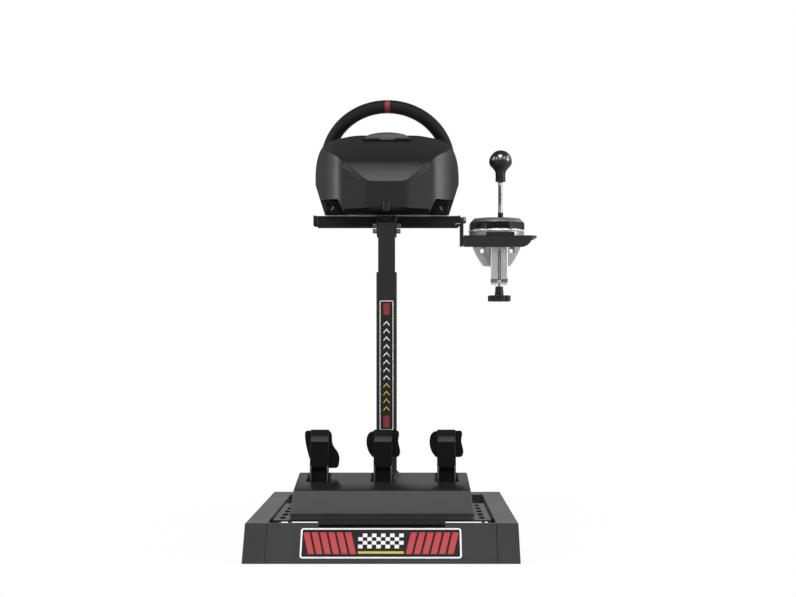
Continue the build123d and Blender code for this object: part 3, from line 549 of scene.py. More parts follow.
def finishJoined(name, pieces, finishName, body):
    finishPiece(joinPieces(name, pieces), finishName, body)


barEdge = 0.3  # rounding of a bar's edges, as a share of its thin side


# a bar from one point to another with rounded edges, its broad side facing the given way
def barBetween(name, start, end, wide, thick, facing):
    run = Vector(end) - Vector(start)
    along = run.normalized()
    out = (Vector(facing) - along * along.dot(Vector(facing))).normalized()
    bar = startBlock(name, (run.length, thick, wide))
    roundEdges(bar, min(thick, wide) * barEdge)
    turn = Matrix((along, -out, along.cross(-out))).transposed()
    bar.matrix_world = Matrix.Translation((Vector(start) + Vector(end)) / 2) @ turn.to_4x4()
    fixPlace(bar)
    return bar


# stands a piece that was made facing +Z on a place, facing a way
def standOn(piece, place, facing):
    turn = Vector(facing).to_track_quat("Z", "Y").to_matrix().to_4x4()
    piece.matrix_world = Matrix.Translation(place) @ turn
    fixPlace(piece)
    return piece


# a button-head screw with a round socket, in shares of its radius or height
screwShape = {"socket": 0.5, "deep": 0.6, "edge": 0.3}


def makeScrew(place, facing, radius, high):
    screw = startRound("screw", radius, high, sides=24)
    moveFaces(screw, isTop, (0, 0, -high * screwShape["deep"]), radius * screwShape["socket"])
    roundEdges(screw, high * screwShape["edge"], 3)
    return standOn(screw, Vector(place) + Vector(facing) * high / 2, facing)


# how far a node reaches along a direction from a point
def reachAlong(name, origin, way):
    place, points = nodes[name].matrix_world, nodes[name].data.vertices
    return max((place @ point.co - Vector(origin)).dot(Vector(way)) for point in points)


mergeGap = 0.01 * mm


# a thin skin over some faces of a CAD node, lifted off a merged copy of its mesh
def liftFaces(name, nodeName, keep, sheet):
    source = nodes[nodeName]
    skin = bpy.data.objects.new(name, source.data.copy())
    scene.collection.objects.link(skin)
    skin.matrix_world = source.matrix_world
    fixPlace(skin)
    bpy.ops.object.mode_set(mode="EDIT")
    bpy.ops.mesh.select_all(action="SELECT")
    bpy.ops.mesh.remove_doubles(threshold=mergeGap)
    endEdit()
    dropFaces(skin, lambda face: not keep(face))
    thicken(skin, sheet)
    return skin


# the sloped front panel: the foot and the top of its slope, and the slope's angle from upright
panelLip = 7 * mm


def panelSlope():
    low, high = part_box("front_panel")
    top = Vector((0, high.y - panelLip, high.z))
    return Vector((0, low.y, 0)), top, math.atan2(top.y - low.y, top.z)


# the way that a face leaning back by an angle looks
def outFrom(angle):
    return Vector((0, -math.cos(angle), math.sin(angle)))


# a thin plate with rounded corners that faces -Y, and a flat ring for its outline
def makeFramed(name, wide, thick, high, corner, border):
    face = startBlock(f"{name}Face", (wide - border, thick, high - border))
    roundCorners(face, corner - border / 2)
    outline = startBlock(f"{name}Outline", (wide, thick, high))
    roundCorners(outline, corner)
    pickFaces(outline, lambda face: abs(face.normal.y) > 0.9)
    bpy.ops.mesh.inset(thickness=border)
    bpy.ops.mesh.bridge_edge_loops()
    endEdit()
    return face, outline


# badge on the sloped panel: a white outline, slanted red bars and a small chequer
badge = lengths(wide=262.4, high=60, thick=0.7, corner=5, border=2.8, aside=-0.8, edge=0.2,
                lift=0.35, outlineLift=0.45, inkLift=0.5,
                barWide=10, barHigh=43, barPitch=13.6, slant=9, firstBar=49.5,
                square=7.4, chequerRise=4.5, lineWide=74, lineHigh=4.5, lineDrop=18.5)
badge.update(bars=6, columns=10, rows=4)


def badgeBlock(name, wide, high, middle, slant=0.0):
    block = startBlock(name, (wide, badge["thick"], high), middle)
    moveFaces(block, isTop, (slant, 0, 0))
    roundEdges(block, badge["edge"], angle=30)
    return block


def makeBadge():
    foot, top, angle = panelSlope()
    middle = (foot + top) / 2
    middle.x = badge["aside"]

    def place(piece, lift, finishName):
        fixPlace(piece)
        piece.rotation_euler = (-angle, 0, 0)
        piece.location = middle + outFrom(angle) * badge[lift]
        finishPiece(piece, finishName, "base")

    face, outline = makeFramed("badge", badge["wide"], badge["thick"], badge["high"], badge["corner"],
                               badge["border"])
    place(face, "lift", "inkBlack")
    place(outline, "outlineLift", "inkWhite")
    bars, squares = [], []
    for side in (-1, 1):
        for n in range(badge["bars"]):
            x = side * (badge["firstBar"] + n * badge["barPitch"] - badge["slant"] / 2)
            bars.append(badgeBlock("bar", badge["barWide"], badge["barHigh"], (x, 0, 0),
                                   side * badge["slant"]))
    place(joinPieces("badgeBars", bars), "inkLift", "inkRed")
    for column in range(badge["columns"]):
        for row in range(badge["rows"]):
            if (column + row) % 2 == 0:
                x = (column - (badge["columns"] - 1) / 2) * badge["square"]
                z = (row - (badge["rows"] - 1) / 2) * badge["square"] + badge["chequerRise"]
                squares.append(badgeBlock("square", badge["square"], badge["square"], (x, 0, z)))
    place(joinPieces("badgeChequer", squares), "inkLift", "inkWhite")
    line = badgeBlock("badgeLine", badge["lineWide"], badge["lineHigh"], (0, 0, -badge["lineDrop"]))
    place(line, "inkLift", "inkYellow")


# label on the column: an outline, red ends and a run of chevrons
label = lengths(wide=26.6, low=185.5, high=439, thick=0.5, corner=2.5, border=1.3,
                outlineLift=0.08, inkLift=0.12, blockWide=12, blockHigh=23, blockInset=5, blockCorner=0.6,
                chevronWide=12, chevronThick=2.6, chevronRise=7, pitch=15.2, firstDrop=41)
label.update(chevrons=12, yellowFrom=8)


def makeChevron(z, front):
    halves = []
    for side in (-1, 1):
        half = startBlock("chevron", (label["chevronWide"] / 2, label["thick"], label["chevronThick"]),
                          (side * label["chevronWide"] / 4, front, z))
        moveFaces(half, lambda face, side=side: face.normal.x * side > 0.9, (0, 0, -label["chevronRise"]))
        halves.append(half)
    return halves


def makeLabel():
    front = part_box("outer_tube")[0].y
    inkFront = front - label["inkLift"]
    thick, tall = label["thick"], label["high"] - label["low"]
    middle = (label["high"] + label["low"]) / 2
    face, outline = makeFramed("label", label["wide"], thick, tall, label["corner"], label["border"])
    face.location = (0, front, middle)
    finishPiece(face, "labelBlack", "base")
    outline.location = (0, front - label["outlineLift"], middle)
    finishPiece(outline, "inkWhite", "base")
    ends = []
    for end in (-1, 1):
        z = middle + end * (tall / 2 - label["blockInset"] - label["blockHigh"] / 2)
        block = startBlock("end", (label["blockWide"], thick, label["blockHigh"]), (0, inkFront, z))
        roundCorners(block, label["blockCorner"], 2)
        ends.append(block)
    finishJoined("labelEnds", ends, "inkDeepRed", "base")
    white, yellow = [], []
    for n in range(label["chevrons"]):
        z = label["high"] - label["firstDrop"] - n * label["pitch"]
        (yellow if n >= label["yellowFrom"] else white).extend(makeChevron(z, inkFront))
    finishJoined("labelChevrons", white, "inkWhite", "base")
    finishJoined("labelYellowChevrons", yellow, "inkYellow", "base")


makeBadge()
makeLabel()
print("badge and label made")


# the wheel unit's rear: half its flat wall, the height of its hip, and how far the side walls fall back
unitWall = dict(lengths(flat=36, hip=62), slope=0.5)
# strips beside the window, from one share of its edge to another: raised ribs whose lighter grey paints the
# highlights along the band, and a groove whose black paints the shade in it
windowStrips = dict(lengths(rise=42, run=25, ribWide=1.5, ribThick=1.2, ribPlaces=(3.0, 7.5),
                            grooveWide=3.4, grooveThick=0.6, groovePlace=5.2), start=0.22, end=0.92)


def makeWindowStrips():
    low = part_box("wheel_base_housing")[0]
    ribs, grooves = [], []
    for side in (-1, 1):
        foot = Vector((side * unitWall["flat"], low.y, low.z + unitWall["hip"]))
        back = windowStrips["run"]
        run = Vector((side * back / unitWall["slope"], back, windowStrips["rise"]))
        wall = Vector((side * unitWall["slope"], -1, 0)).normalized()
        aside = wall.cross(run).normalized()
        if aside.z > 0:
            aside = -aside
        start, end = foot + run * windowStrips["start"], foot + run * windowStrips["end"]
        for place in windowStrips["ribPlaces"]:
            ribs.append(barBetween("rib", start + aside * place, end + aside * place,
                                   windowStrips["ribWide"], windowStrips["ribThick"], wall))
        place = windowStrips["groovePlace"]
        grooves.append(barBetween("groove", start + aside * place, end + aside * place,
                                  windowStrips["grooveWide"], windowStrips["grooveThick"], wall))
    finishJoined("windowRibs", ribs, "ribGrey", "deck")
    finishJoined("windowGrooves", grooves, "seamBlack", "deck")


# painted shade under the housing: a dark skin on its sloped chin that lightens upwards, and dark strips at
# the foot of its side walls, put where there is only shade
chinTrim = lengths(high=14, sheet=0.4, skirtHigh=10, skirtTo=83, skirtThick=1)


def makeChinTrim():
    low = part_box("wheel_base_housing")[0]
    top = low.z + chinTrim["high"]
    chin = liftFaces("chinTrim", "wheel_base_housing",
                     lambda face: face.center.z < top and -0.97 < face.normal.z < -0.4, chinTrim["sheet"])
    finishPiece(chin, "chinFade", "deck")
    z = low.z + chinTrim["skirtHigh"] / 2
    back = low.y + (chinTrim["skirtTo"] - unitWall["flat"]) * unitWall["slope"]
    skirts = []
    for side in (-1, 1):
        start, end = (side * unitWall["flat"], low.y, z), (side * chinTrim["skirtTo"], back, z)
        skirts.append(barBetween("skirt", start, end, chinTrim["skirtHigh"], chinTrim["skirtThick"],
                                 (side * unitWall["slope"], -1, 0)))
    finishJoined("wallSkirts", skirts, "shadeBlack", "deck")


# the window facet, with a painted reflection: a skin that is lighter at its foot and darkens towards its top
windowSheet = 0.25 * mm


def makeWindowSkin():
    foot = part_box("wheel_base_housing")[0].z + unitWall["hip"]
    skin = liftFaces("windowSkin", "wheel_base_housing",
                     lambda face: face.center.z > foot and abs(face.normal.x) < 0.1 and face.normal.y < -0.7
                     and 0.35 < face.normal.z < 0.65, windowSheet)
    finishPiece(skin, "windowFade", "deck")


# the crest's tab, a dark bar that paints the shadow under it and dark bars beside it that paint shade
crestTrim = dict(lengths(tab=(31, 1.6, 4), tabEdge=0.4, gap=(104, 1, 2), gapIn=0.2, gapDown=0.6, gapEdge=0.2,
                         shadeHigh=2.6, shadeThick=0.8, shadeTo=49), tabTaper=0.86, gapTaper=0.8)


def makeCrestTrim():
    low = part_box("housing_crest")[0]
    tab = startBlock("crestTab", crestTrim["tab"], (0, low.y, low.z))
    taperFaces(tab, isUnder, (crestTrim["tabTaper"], 1, 1))
    roundEdges(tab, crestTrim["tabEdge"])
    finishPiece(tab, "crestPlastic", "deck")
    gap = startBlock("crestGap", crestTrim["gap"],
                     (0, low.y + crestTrim["gapIn"], low.z - crestTrim["gapDown"]))
    taperFaces(gap, isUnder, (crestTrim["gapTaper"], 1, 1))
    roundEdges(gap, crestTrim["gapEdge"])
    finishPiece(gap, "seamBlack", "deck")
    z = low.z + crestTrim["shadeHigh"] / 2
    shades = []
    for side in (-1, 1):
        start, end = (side * crestTrim["tab"][0] / 2, low.y, z), (side * crestTrim["shadeTo"], low.y, z)
        shades.append(barBetween("shade", start, end, crestTrim["shadeHigh"], crestTrim["shadeThick"],
                                 (0, -1, 0)))
    finishJoined("crestShades", shades, "seamBlack", "deck")


clipRib = lengths(size=(1.1, 1.4, 15), out=5, edge=0.35)


def makeClipRibs():
    low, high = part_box("rear_clip")
    ribs = []
    for side in (-1, 1):
        rib = startBlock("rib", clipRib["size"], (side * clipRib["out"], low.y, (low.z + high.z) / 2))
        roundEdges(rib, clipRib["edge"])
        ribs.append(rib)
    finishJoined("clipRibs", ribs, "trimGrey", "deck")


# tapered tabs on the corner pads, turned by degrees
cornerTab = dict(lengths(size=(9, 1.6, 4), inside=12, up=12, edge=0.4), taper=0.35, turn=55)


def makeCornerTabs():
    low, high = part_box("corner_pads")
    tabs = []
    for side in (-1, 1):
        tab = startBlock("tab", cornerTab["size"])
        taperFaces(tab, lambda face: face.normal.x > 0.9, (1, 1, cornerTab["taper"]))
        roundEdges(tab, cornerTab["edge"])
        tab.rotation_euler = (0, math.radians(90 - side * (90 - cornerTab["turn"])), 0)
        tab.location = (side * (high.x - cornerTab["inside"]), low.y, low.z + cornerTab["up"])
        tabs.append(tab)
    finishJoined("cornerTabs", tabs, "bandGrey", "deck")


makeWindowStrips()
makeChinTrim()
makeWindowSkin()
makeCrestTrim()
makeClipRibs()
makeCornerTabs()
print("wheel unit trimmed")


# bolt heads: six-sided, on washers; tilt heads are given as how far in from the bolt's end, and height
boltHead = dict(lengths(washer=5.0, washerThick=1.3, tiltRadius=4.7, tiltHeads=((2.6, 3.4), (6.4, 1)),
                        barRadius=5.9, barHigh=5.2, barIn=5), rim=0.3, crown=0.12, edge=0.07, washerEdge=0.3)


def makeBolt(place, facing, radius, high):
    head = startRound("head", radius, high, (0, 0, high / 2), sides=6)
    moveFaces(head, isTop, (0, 0, high * boltHead["crown"]), radius * boltHead["rim"])
    roundEdges(head, radius * boltHead["edge"])
    washer = startRound("washer", boltHead["washer"], boltHead["washerThick"], sides=24)
    roundEdges(washer, boltHead["washerThick"] * boltHead["washerEdge"])
    return standOn(joinPieces("bolt", [head, washer]), place, facing)


def makeTiltBolts():
    low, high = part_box("tilt_bolts")
    half = (high.y - low.y) / 2
    bolts = []
    for side, x in ((-1, low.x), (1, high.x)):
        for z in (low.z + half, high.z - half):
            for inside, tall in boltHead["tiltHeads"]:
                place = (x - side * inside, 0, z)
                bolts.append(makeBolt(place, (side, 0, 0), boltHead["tiltRadius"], tall))
    finishJoined("tiltBoltHeads", bolts, "dullBolt", "deck")


def makeBarBolts():
    low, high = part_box("bracket_bolts")
    bolts = []
    for y in (low.y + boltHead["barIn"], high.y - boltHead["barIn"]):
        place = (low.x, y, (low.z + high.z) / 2)
        bolts.append(makeBolt(place, (1, 0, 0), boltHead["barRadius"], boltHead["barHigh"]))
    finishJoined("barBoltHeads", bolts, "zincBolt", "deck")


makeTiltBolts()
makeBarBolts()
print("bolts made")


# shifter: a chrome ring under the cap with hollows round it, a silver band on the cap, a dark block in front
shifterRing = dict(lengths(radius=53.6, thick=3, hollow=0.5), sides=88, hollowEvery=4)
capBand = dict(lengths(high=8, top=44.25, low=52.25, sheet=0.7, inset=7, edge=0.25), sides=8)
shifterJaw = lengths(size=(56, 7, 7), aside=4.5, out=4, edge=0.8)


def makeShifterRing(middle, foot):
    ring = startRing("shifterRing", shifterRing["radius"], shifterRing["thick"],
                     (middle.x, middle.y, foot - shifterRing["thick"]), shifterRing["sides"])
    every = shifterRing["hollowEvery"]
    pickFaces(ring, lambda face: face.index // ringSides % every == 0 and face.normal.z < 0.6)
    bpy.ops.mesh.inset(thickness=shifterRing["hollow"])
    bpy.ops.transform.shrink_fatten(value=-shifterRing["hollow"])
    endEdit()
    finishPiece(ring, "ringChrome", "deck")


def makeCapBand(middle, top):
    turn = math.pi / capBand["sides"]
    band = startPiece(
        "capBand", bpy.ops.mesh.primitive_cone_add, vertices=capBand["sides"], depth=capBand["high"],
        radius1=capBand["low"] / math.cos(turn), radius2=capBand["top"] / math.cos(turn),
        rotation=(0, 0, turn), location=(middle.x, middle.y, top - capBand["high"] / 2))
    fixPlace(band)
    dropFaces(band, isTop, capBand["inset"])
    dropFaces(band, isUnder)
    thicken(band, capBand["sheet"])
    roundEdges(band, capBand["edge"])
    finishPiece(band, "capSilver", "deck")


def makeShifterTop():
    low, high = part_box("shifter_cap")
    middle = (low + high) / 2
    makeShifterRing(middle, low.z)
    makeCapBand(middle, high.z)
    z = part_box("shifter_shelf")[1].z + shifterJaw["size"][2] / 2
    x, y = middle.x + shifterJaw["aside"], middle.y - shifterRing["radius"] - shifterJaw["out"]
    jaw = startBlock("shifterJaw", shifterJaw["size"], (x, y, z))
    roundEdges(jaw, shifterJaw["edge"], 3)
    finishPiece(jaw, "darkPlastic", "deck")


# lever: a sleeve at its foot, a ring at the knob's neck, a smooth half ball for the knob's cap
# and a smooth tube on the rod
lever = lengths(sleeveRadius=5.4, sleeveHigh=10, sleeveLift=2.6, sleeveRise=0.5, sleeveEdge=0.4,
                neck=10, neckRing=0.6, neckUp=2,
                rodRadius=4.6, rodFoot=12, rodIn=1, rodInset=0.4, rodEdge=0.3)


def makeLeverTrim():
    low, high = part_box("knob_cap")
    x, y = (low.x + high.x) / 2, (low.y + high.y) / 2
    capTop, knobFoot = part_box("shifter_cap")[1].z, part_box("shift_knob")[0].z
    sleeve = startRound("leverSleeve", lever["sleeveRadius"], lever["sleeveHigh"],
                        (x, y, capTop + lever["sleeveLift"] + lever["sleeveHigh"] / 2))
    moveFaces(sleeve, isTop, (0, 0, lever["sleeveRise"]), lever["sleeveRise"])
    roundEdges(sleeve, lever["sleeveEdge"])
    finishPiece(sleeve, "darkPlastic", "shift_lever")
    ring = startRing("knobRing", lever["neck"], lever["neckRing"], (x, y, knobFoot + lever["neckUp"]))
    finishPiece(ring, "capGloss", "shift_lever")
    ball = startBall("knobBall", (high.x - low.x) / 2, (x, y, low.z))
    pickFaces(ball, lambda face: face.center.z < 0)
    bpy.ops.mesh.delete(type="FACE")
    bpy.ops.mesh.select_all(action="SELECT")
    bpy.ops.mesh.fill_holes(sides=0)
    endEdit()
    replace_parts(finishPiece(ball, "knobGloss", "shift_lever"), "knob_cap")
    foot, top = capTop + lever["rodFoot"], knobFoot + lever["rodIn"]
    tube = startRound("rodTube", lever["rodRadius"], top - foot, (x, y, (top + foot) / 2), sides=48)
    moveFaces(tube, isTop, (0, 0, 0), lever["rodInset"])
    roundEdges(tube, lever["rodEdge"])
    finishPiece(tube, "chromeRod", "shift_lever")


# clamp under the shelf: two grey bands, the teeth below them and the screw's thread
clamp = dict(lengths(band=(13.2, 12.8, 7), bandRise=2, bandOut=0.3, bandEdge=0.5,
                     toothDeep=10, toothHigh=4.2, toothDown=1.68, thread=0.36, threadPitch=1.5, threadUp=2),
             teeth=5, toothShare=0.7, toothTaper=0.4, threadTurns=40)


def makeClampTrim():
    low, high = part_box("shifter_clamp")
    middle = (low + high) / 2
    wide = clamp["band"][0]
    pitch = wide / clamp["teeth"]
    toothSize = (pitch * clamp["toothShare"], clamp["toothDeep"], clamp["toothHigh"])
    bands, teeth = [], []
    for side in (-1, 1):
        x = side * ((high.x - low.x) / 2 - wide / 2 + clamp["bandOut"]) + middle.x
        z = low.z + clamp["bandRise"] + clamp["band"][2] / 2
        band = startBlock("band", clamp["band"], (x, middle.y, z))
        roundEdges(band, clamp["bandEdge"])
        bands.append(band)
        for n in range(clamp["teeth"]):
            place = (x + (n - (clamp["teeth"] - 1) / 2) * pitch, middle.y, low.z - clamp["toothDown"])
            tooth = startBlock("tooth", toothSize, place)
            taperFaces(tooth, isUnder, (clamp["toothTaper"], 1, 1))
            teeth.append(tooth)
    finishJoined("clampBands", bands, "bandGrey", "deck")
    finishJoined("clampTeeth", teeth, "silverCast", "deck")
    low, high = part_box("clamp_screw")
    thread = startRing("screwThread", (high.x - low.x) / 2, clamp["thread"], sides=20)
    repeat(thread, clamp["threadTurns"], (0, 0, clamp["threadPitch"]))
    thread.location = ((low.x + high.x) / 2, (low.y + high.y) / 2, low.z + clamp["threadUp"])
    finishPiece(thread, "zincBolt", "clamp_screw")


makeShifterTop()
makeLeverTrim()
makeClampTrim()
print("shifter trimmed")


# steering wheel: its centre, the radii of its ring and grip, and its lean in degrees
wheel = dict(lengths(centre=(0, 161, 726.8), ring=125.5, grip=13.5), lean=29)
wheelAxis = Vector((0, math.cos(math.radians(wheel["lean"])), math.sin(math.radians(wheel["lean"]))))


# a piece made round the origin, facing +Z with its top at -Y, is set on the wheel and finished
def setOnWheel(piece, out, finishName):
    fixPlace(piece)
    piece.rotation_euler = (math.radians(wheel["lean"] - 90), 0, 0)
    piece.location = Vector(wheel["centre"]) + wheelAxis * out
    finishPiece(piece, finishName, "steering_wheel")


stitching = dict(lengths(size=(1.1, 4.2, 1.4), lift=0.25, edge=0.4), count=96, turn=25)


def makeStitching():
    stitch = startBlock("rimStitches", stitching["size"])
    roundEdges(stitch, stitching["edge"])
    stitch.rotation_euler = (math.radians(stitching["turn"]), 0, 0)
    stitch.location = (wheel["ring"] - wheel["grip"] + stitching["lift"], 0, 0)
    fixPlace(stitch)
    bpy.ops.object.mode_set(mode="EDIT")
    bpy.ops.mesh.select_all(action="SELECT")
    bpy.ops.mesh.spin(steps=stitching["count"], dupli=True, angle=2 * math.pi,
                      center=(0, 0, 0), axis=(0, 0, 1))
    bpy.ops.mesh.remove_doubles(threshold=mergeGap)
    bpy.ops.mesh.select_all(action="SELECT")
    bpy.ops.mesh.normals_make_consistent(inside=False)
    endEdit()
    setOnWheel(stitch, 0, "stitchGrey")


markerSeam = lengths(lift=0.1, thick=0.55, aside=5.5)


def makeMarkerSeams():
    seams = []
    for side in (-1, 1):
        seam = startRing("seam", wheel["grip"] + markerSeam["lift"], markerSeam["thick"], sides=40)
        seam.rotation_euler = (0, math.pi / 2, 0)
        seam.location = (side * markerSeam["aside"], -wheel["ring"], 0)
        seams.append(seam)
    setOnWheel(joinPieces("markerSeams", seams), 0, "seamBlack")


# a ring with a flattened top and a circle of screws on the hub
hubTrim = dict(lengths(ring=33, ringThick=1.1, ringFlat=0.2, ringSink=2.4, screwCircle=26, screwRadius=3,
                       screwHigh=1.8, screwSink=0.2), screws=6)


def makeHubTrim():
    out = reachAlong("hub_face", wheel["centre"], wheelAxis)
    ring = startRing("hubRing", hubTrim["ring"], hubTrim["ringThick"])
    moveFaces(ring, lambda face: face.normal.z > 0.95, (0, 0, -hubTrim["ringFlat"]))
    setOnWheel(ring, out - hubTrim["ringSink"], "capSilver")
    screws = []
    for n in range(hubTrim["screws"]):
        turn = 2 * math.pi * n / hubTrim["screws"]
        place = (hubTrim["screwCircle"] * math.sin(turn), hubTrim["screwCircle"] * math.cos(turn), 0)
        screws.append(makeScrew(place, (0, 0, 1), hubTrim["screwRadius"], hubTrim["screwHigh"]))
    setOnWheel(joinPieces("hubScrews", screws), out - hubTrim["screwSink"], "zincBolt")


# buttons on both pods, placed from the pod's middle
podButton = lengths(podOut=58, places=((-6.5, -9), (6.5, -9), (-6.5, 5), (6.5, 5)), radius=4, high=3,
                    lift=0.8, edge=1.1)


def makePodButtons():
    out = reachAlong("button_pods", wheel["centre"], wheelAxis)
    buttons = []
    for side in (-1, 1):
        for x, y in podButton["places"]:
            button = startRound("button", podButton["radius"], podButton["high"],
                                (side * podButton["podOut"] + x, y, 0), sides=24)
            roundEdges(button, podButton["edge"], 3)
            buttons.append(button)
    setOnWheel(joinPieces("podButtons", buttons), out + podButton["lift"], "bandGrey")


makeStitching()
makeMarkerSeams()
makeHubTrim()
makePodButtons()
print("steering wheel trimmed")


# pedal housing: a dark crease and a top skin in a darker plastic with little shine, which paints the shade
# on its top
pedalTop = lengths(creaseIn=7.3, creaseUp=42.7, creaseSide=9.5, creaseHigh=1.3, creaseThick=1,
                   above=100, sheet=0.3)


def makePedalTop():
    low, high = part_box("pedal_housing")
    y, z = low.y + pedalTop["creaseIn"], low.z + pedalTop["creaseUp"]
    left, right = low.x + pedalTop["creaseSide"], high.x - pedalTop["creaseSide"]
    crease = barBetween("pedalCrease", (left, y, z), (right, y, z), pedalTop["creaseHigh"],
                        pedalTop["creaseThick"], (0, -0.8, 0.6))
    finishPiece(crease, "seamBlack", "base")
    top = liftFaces("pedalTop", "pedal_housing",
                    lambda face: face.center.z > pedalTop["above"] and isTop(face), pedalTop["sheet"])
    finishPiece(top, "ridgePlastic", "base")


# pedal arms: grey strips up the front edges, measured from the pivot, which paint the highlights on those
# edges, and a skin on the ramp of the step, lighter towards its foot, which paints the highlight on the ramp
pedalArm = dict(lengths(pivotIn=82.1, pivotUp=22, start=20, end=55, edgeOut=14.4, edgeWide=2.2,
                        edgeThick=0.8, face=8.2, rampAbove=150, rampSheet=0.25), lean=12, taper=0.033)


def makeArmTrim(body, x):
    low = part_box("pedal_housing")[0]
    lean = math.radians(pedalArm["lean"])
    up, out = Vector((0, math.sin(lean), math.cos(lean))), Vector((0, math.cos(lean), -math.sin(lean)))
    pivot = Vector((x, low.y + pedalArm["pivotIn"], low.z + pedalArm["pivotUp"]))
    edges = []
    for side in (-1, 1):
        root = pivot + Vector((side * pedalArm["edgeOut"], 0, 0))
        ends = [root + up * reach - out * (pedalArm["face"] + pedalArm["taper"] * reach)
                for reach in (pedalArm["start"], pedalArm["end"])]
        edges.append(barBetween("edge", *ends, pedalArm["edgeWide"], pedalArm["edgeThick"], -out))
    finishJoined(f"{body}Edges", edges, "trimGrey", body)
    ramp = liftFaces(f"{body}Ramp", f"{body}_arm",
                     lambda face: face.center.z > pedalArm["rampAbove"] and face.normal.y < -0.5
                     and 0.7 < face.normal.z < 0.85, pedalArm["rampSheet"])
    finishPiece(ramp, "rampGrey", body)


# narrow lips on both sides of a pocket: where they start and end in Y and Z
pocketLip = lengths(start=(-450, 120.2), end=(-394, 130.6), out=20, wide=2, deep=14)


def startLips(x):
    lips = []
    for side in (-1, 1):
        start, end = (Vector((x + side * pocketLip["out"], *pocketLip[key])) for key in ("start", "end"))
        slope = (end - start).normalized()
        facing = Vector((0, -slope.z, slope.y))
        sink = facing * (pedalTop["sheet"] - pocketLip["deep"] / 2)
        lips.append(barBetween("lip", start + sink, end + sink, pocketLip["wide"], pocketLip["deep"],
                               facing))
    return lips


def makePedalTrim():
    makePedalTop()
    lips = []
    for body in ("throttle", "brake", "clutch"):
        low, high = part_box(f"{body}_arm")
        x = (low.x + high.x) / 2
        makeArmTrim(body, x)
        lips += startLips(x)
    finishJoined("pocketLips", lips, "ridgePlastic", "base")


# painted shadow: a dark strip on the panel under the front edge of the pedal plate's tongue, where the
# tongue's shade falls
tongueStrip = lengths(wide=207, high=6.4, thick=1, down=1.6)


def makeTongueStrip():
    foot, top, angle = panelSlope()
    middle = top + (foot - top).normalized() * (tongueStrip["down"] + tongueStrip["high"] / 2)
    half = Vector((tongueStrip["wide"] / 2, 0, 0))
    strip = barBetween("tongueStrip", middle - half, middle + half, tongueStrip["high"],
                       tongueStrip["thick"], outFrom(angle))
    finishPiece(strip, "shadeBlack", "base")


# weld beads round the column's foot: one flattened bead, repeated along each side
weld = dict(lengths(radius=2.2, pitch=2.7, rise=0.3, out=0.2), count=15, flatten=(1.0, 0.9, 0.7))


def makeWelds():
    low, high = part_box("outer_tube")
    runs = []
    for turn in range(4):
        bead = startBall("bead", weld["radius"], sides=10, rings=6)
        bead.scale = weld["flatten"]
        bead.location = (-weld["pitch"] * (weld["count"] - 1) / 2, high.y + weld["out"], 0)
        fixPlace(bead)
        repeat(bead, weld["count"], (weld["pitch"], 0, 0))
        bead.rotation_euler = (0, 0, turn * math.pi / 2)
        bead.location = (0, 0, low.z + weld["rise"])
        runs.append(bead)
    finishJoined("columnWelds", runs, "blackSteel", "base")


# the deck's lip: a fold at one end drawn as a light line that paints the highlight on the bend, a light line
# along its upper edge that paints the highlight there, a bridge in a lighter grey that paints the light on
# it, and a hook
deckLip = lengths(thick=0.8, foldIn=8.5, foldLow=3.5, foldHigh=19, foldWide=0.9,
                  edgeIn=4, edgeDown=0.5, edgeWide=2.2, bridge=(33, 3, 9), bridgeDown=8, bridgeEdge=0.5,
                  hookIn=9, hookUp=6.5, hookWide=1.4, hookOver=0.5, hookDrop=3)


def lipBar(name, start, end, wide, facing=(0, -1, 0)):
    return barBetween(name, start, end, deckLip[wide], deckLip["thick"], facing)


def makeDeckTrim():
    low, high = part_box("wheel_plate")
    x, y, z = low.x + deckLip["foldIn"], low.y, low.z
    fold = lipBar("lipFold", (x, y, z + deckLip["foldLow"]), (x, y, z + deckLip["foldHigh"]), "foldWide")
    finishPiece(fold, "trimGrey", "deck")
    y, z = low.y + deckLip["edgeDown"], high.z - deckLip["edgeDown"]
    left, right = low.x + deckLip["edgeIn"], high.x - deckLip["edgeIn"]
    edge = lipBar("lipEdge", (left, y, z), (right, y, z), "edgeWide", (0, -0.7, 0.7))
    finishPiece(edge, "edgeGrey", "deck")
    bridge = startBlock("lipBridge", deckLip["bridge"],
                        (0, low.y + deckLip["bridge"][1] / 2, high.z - deckLip["bridgeDown"]))
    roundEdges(bridge, deckLip["bridgeEdge"])
    finishPiece(bridge, "bandGrey", "deck")
    x, y, z = high.x - deckLip["hookIn"], low.y, low.z + deckLip["hookUp"]
    hook = lipBar("hook", (x, y, z), (high.x, y, z), "hookWide")
    drop = lipBar("hook", (x, y, z + deckLip["hookOver"]), (x, y, z - deckLip["hookDrop"]), "hookWide")
    finishJoined("lipHook", [hook, drop], "zincBolt", "deck")


# screws in the driver's face of the wheel unit, placed across and up from the wheel's axis
faceScrew = lengths(places=((-92, 26), (92, 26), (-98, -62), (98, -62)), radius=3.6, high=2, sink=0.3)


def makeFaceScrews():
    centre = Vector(wheel["centre"])
    face = centre + wheelAxis * (reachAlong("wheel_base_housing", centre, wheelAxis) - faceScrew["sink"])
    upwards = Vector((0, -wheelAxis.z, wheelAxis.y))
    screws = []
    for x, rise in faceScrew["places"]:
        place = face + Vector((x, 0, 0)) + upwards * rise
        screws.append(makeScrew(place, wheelAxis, faceScrew["radius"], faceScrew["high"]))
    finishJoined("faceScrews", screws, "zincBolt", "deck")


makePedalTrim()
makeTongueStrip()
makeWelds()
makeDeckTrim()
makeFaceScrews()
print("pedals, column and deck trimmed")


# camera where the photograph was taken, level, with the lens shifted by pixels
photo = {"width": 796, "lens": 73.04, "sensor": 36.0, "place": (0.0489, -3.185, 0.3549),
         "shiftX": -13.46, "shiftY": 45.05}


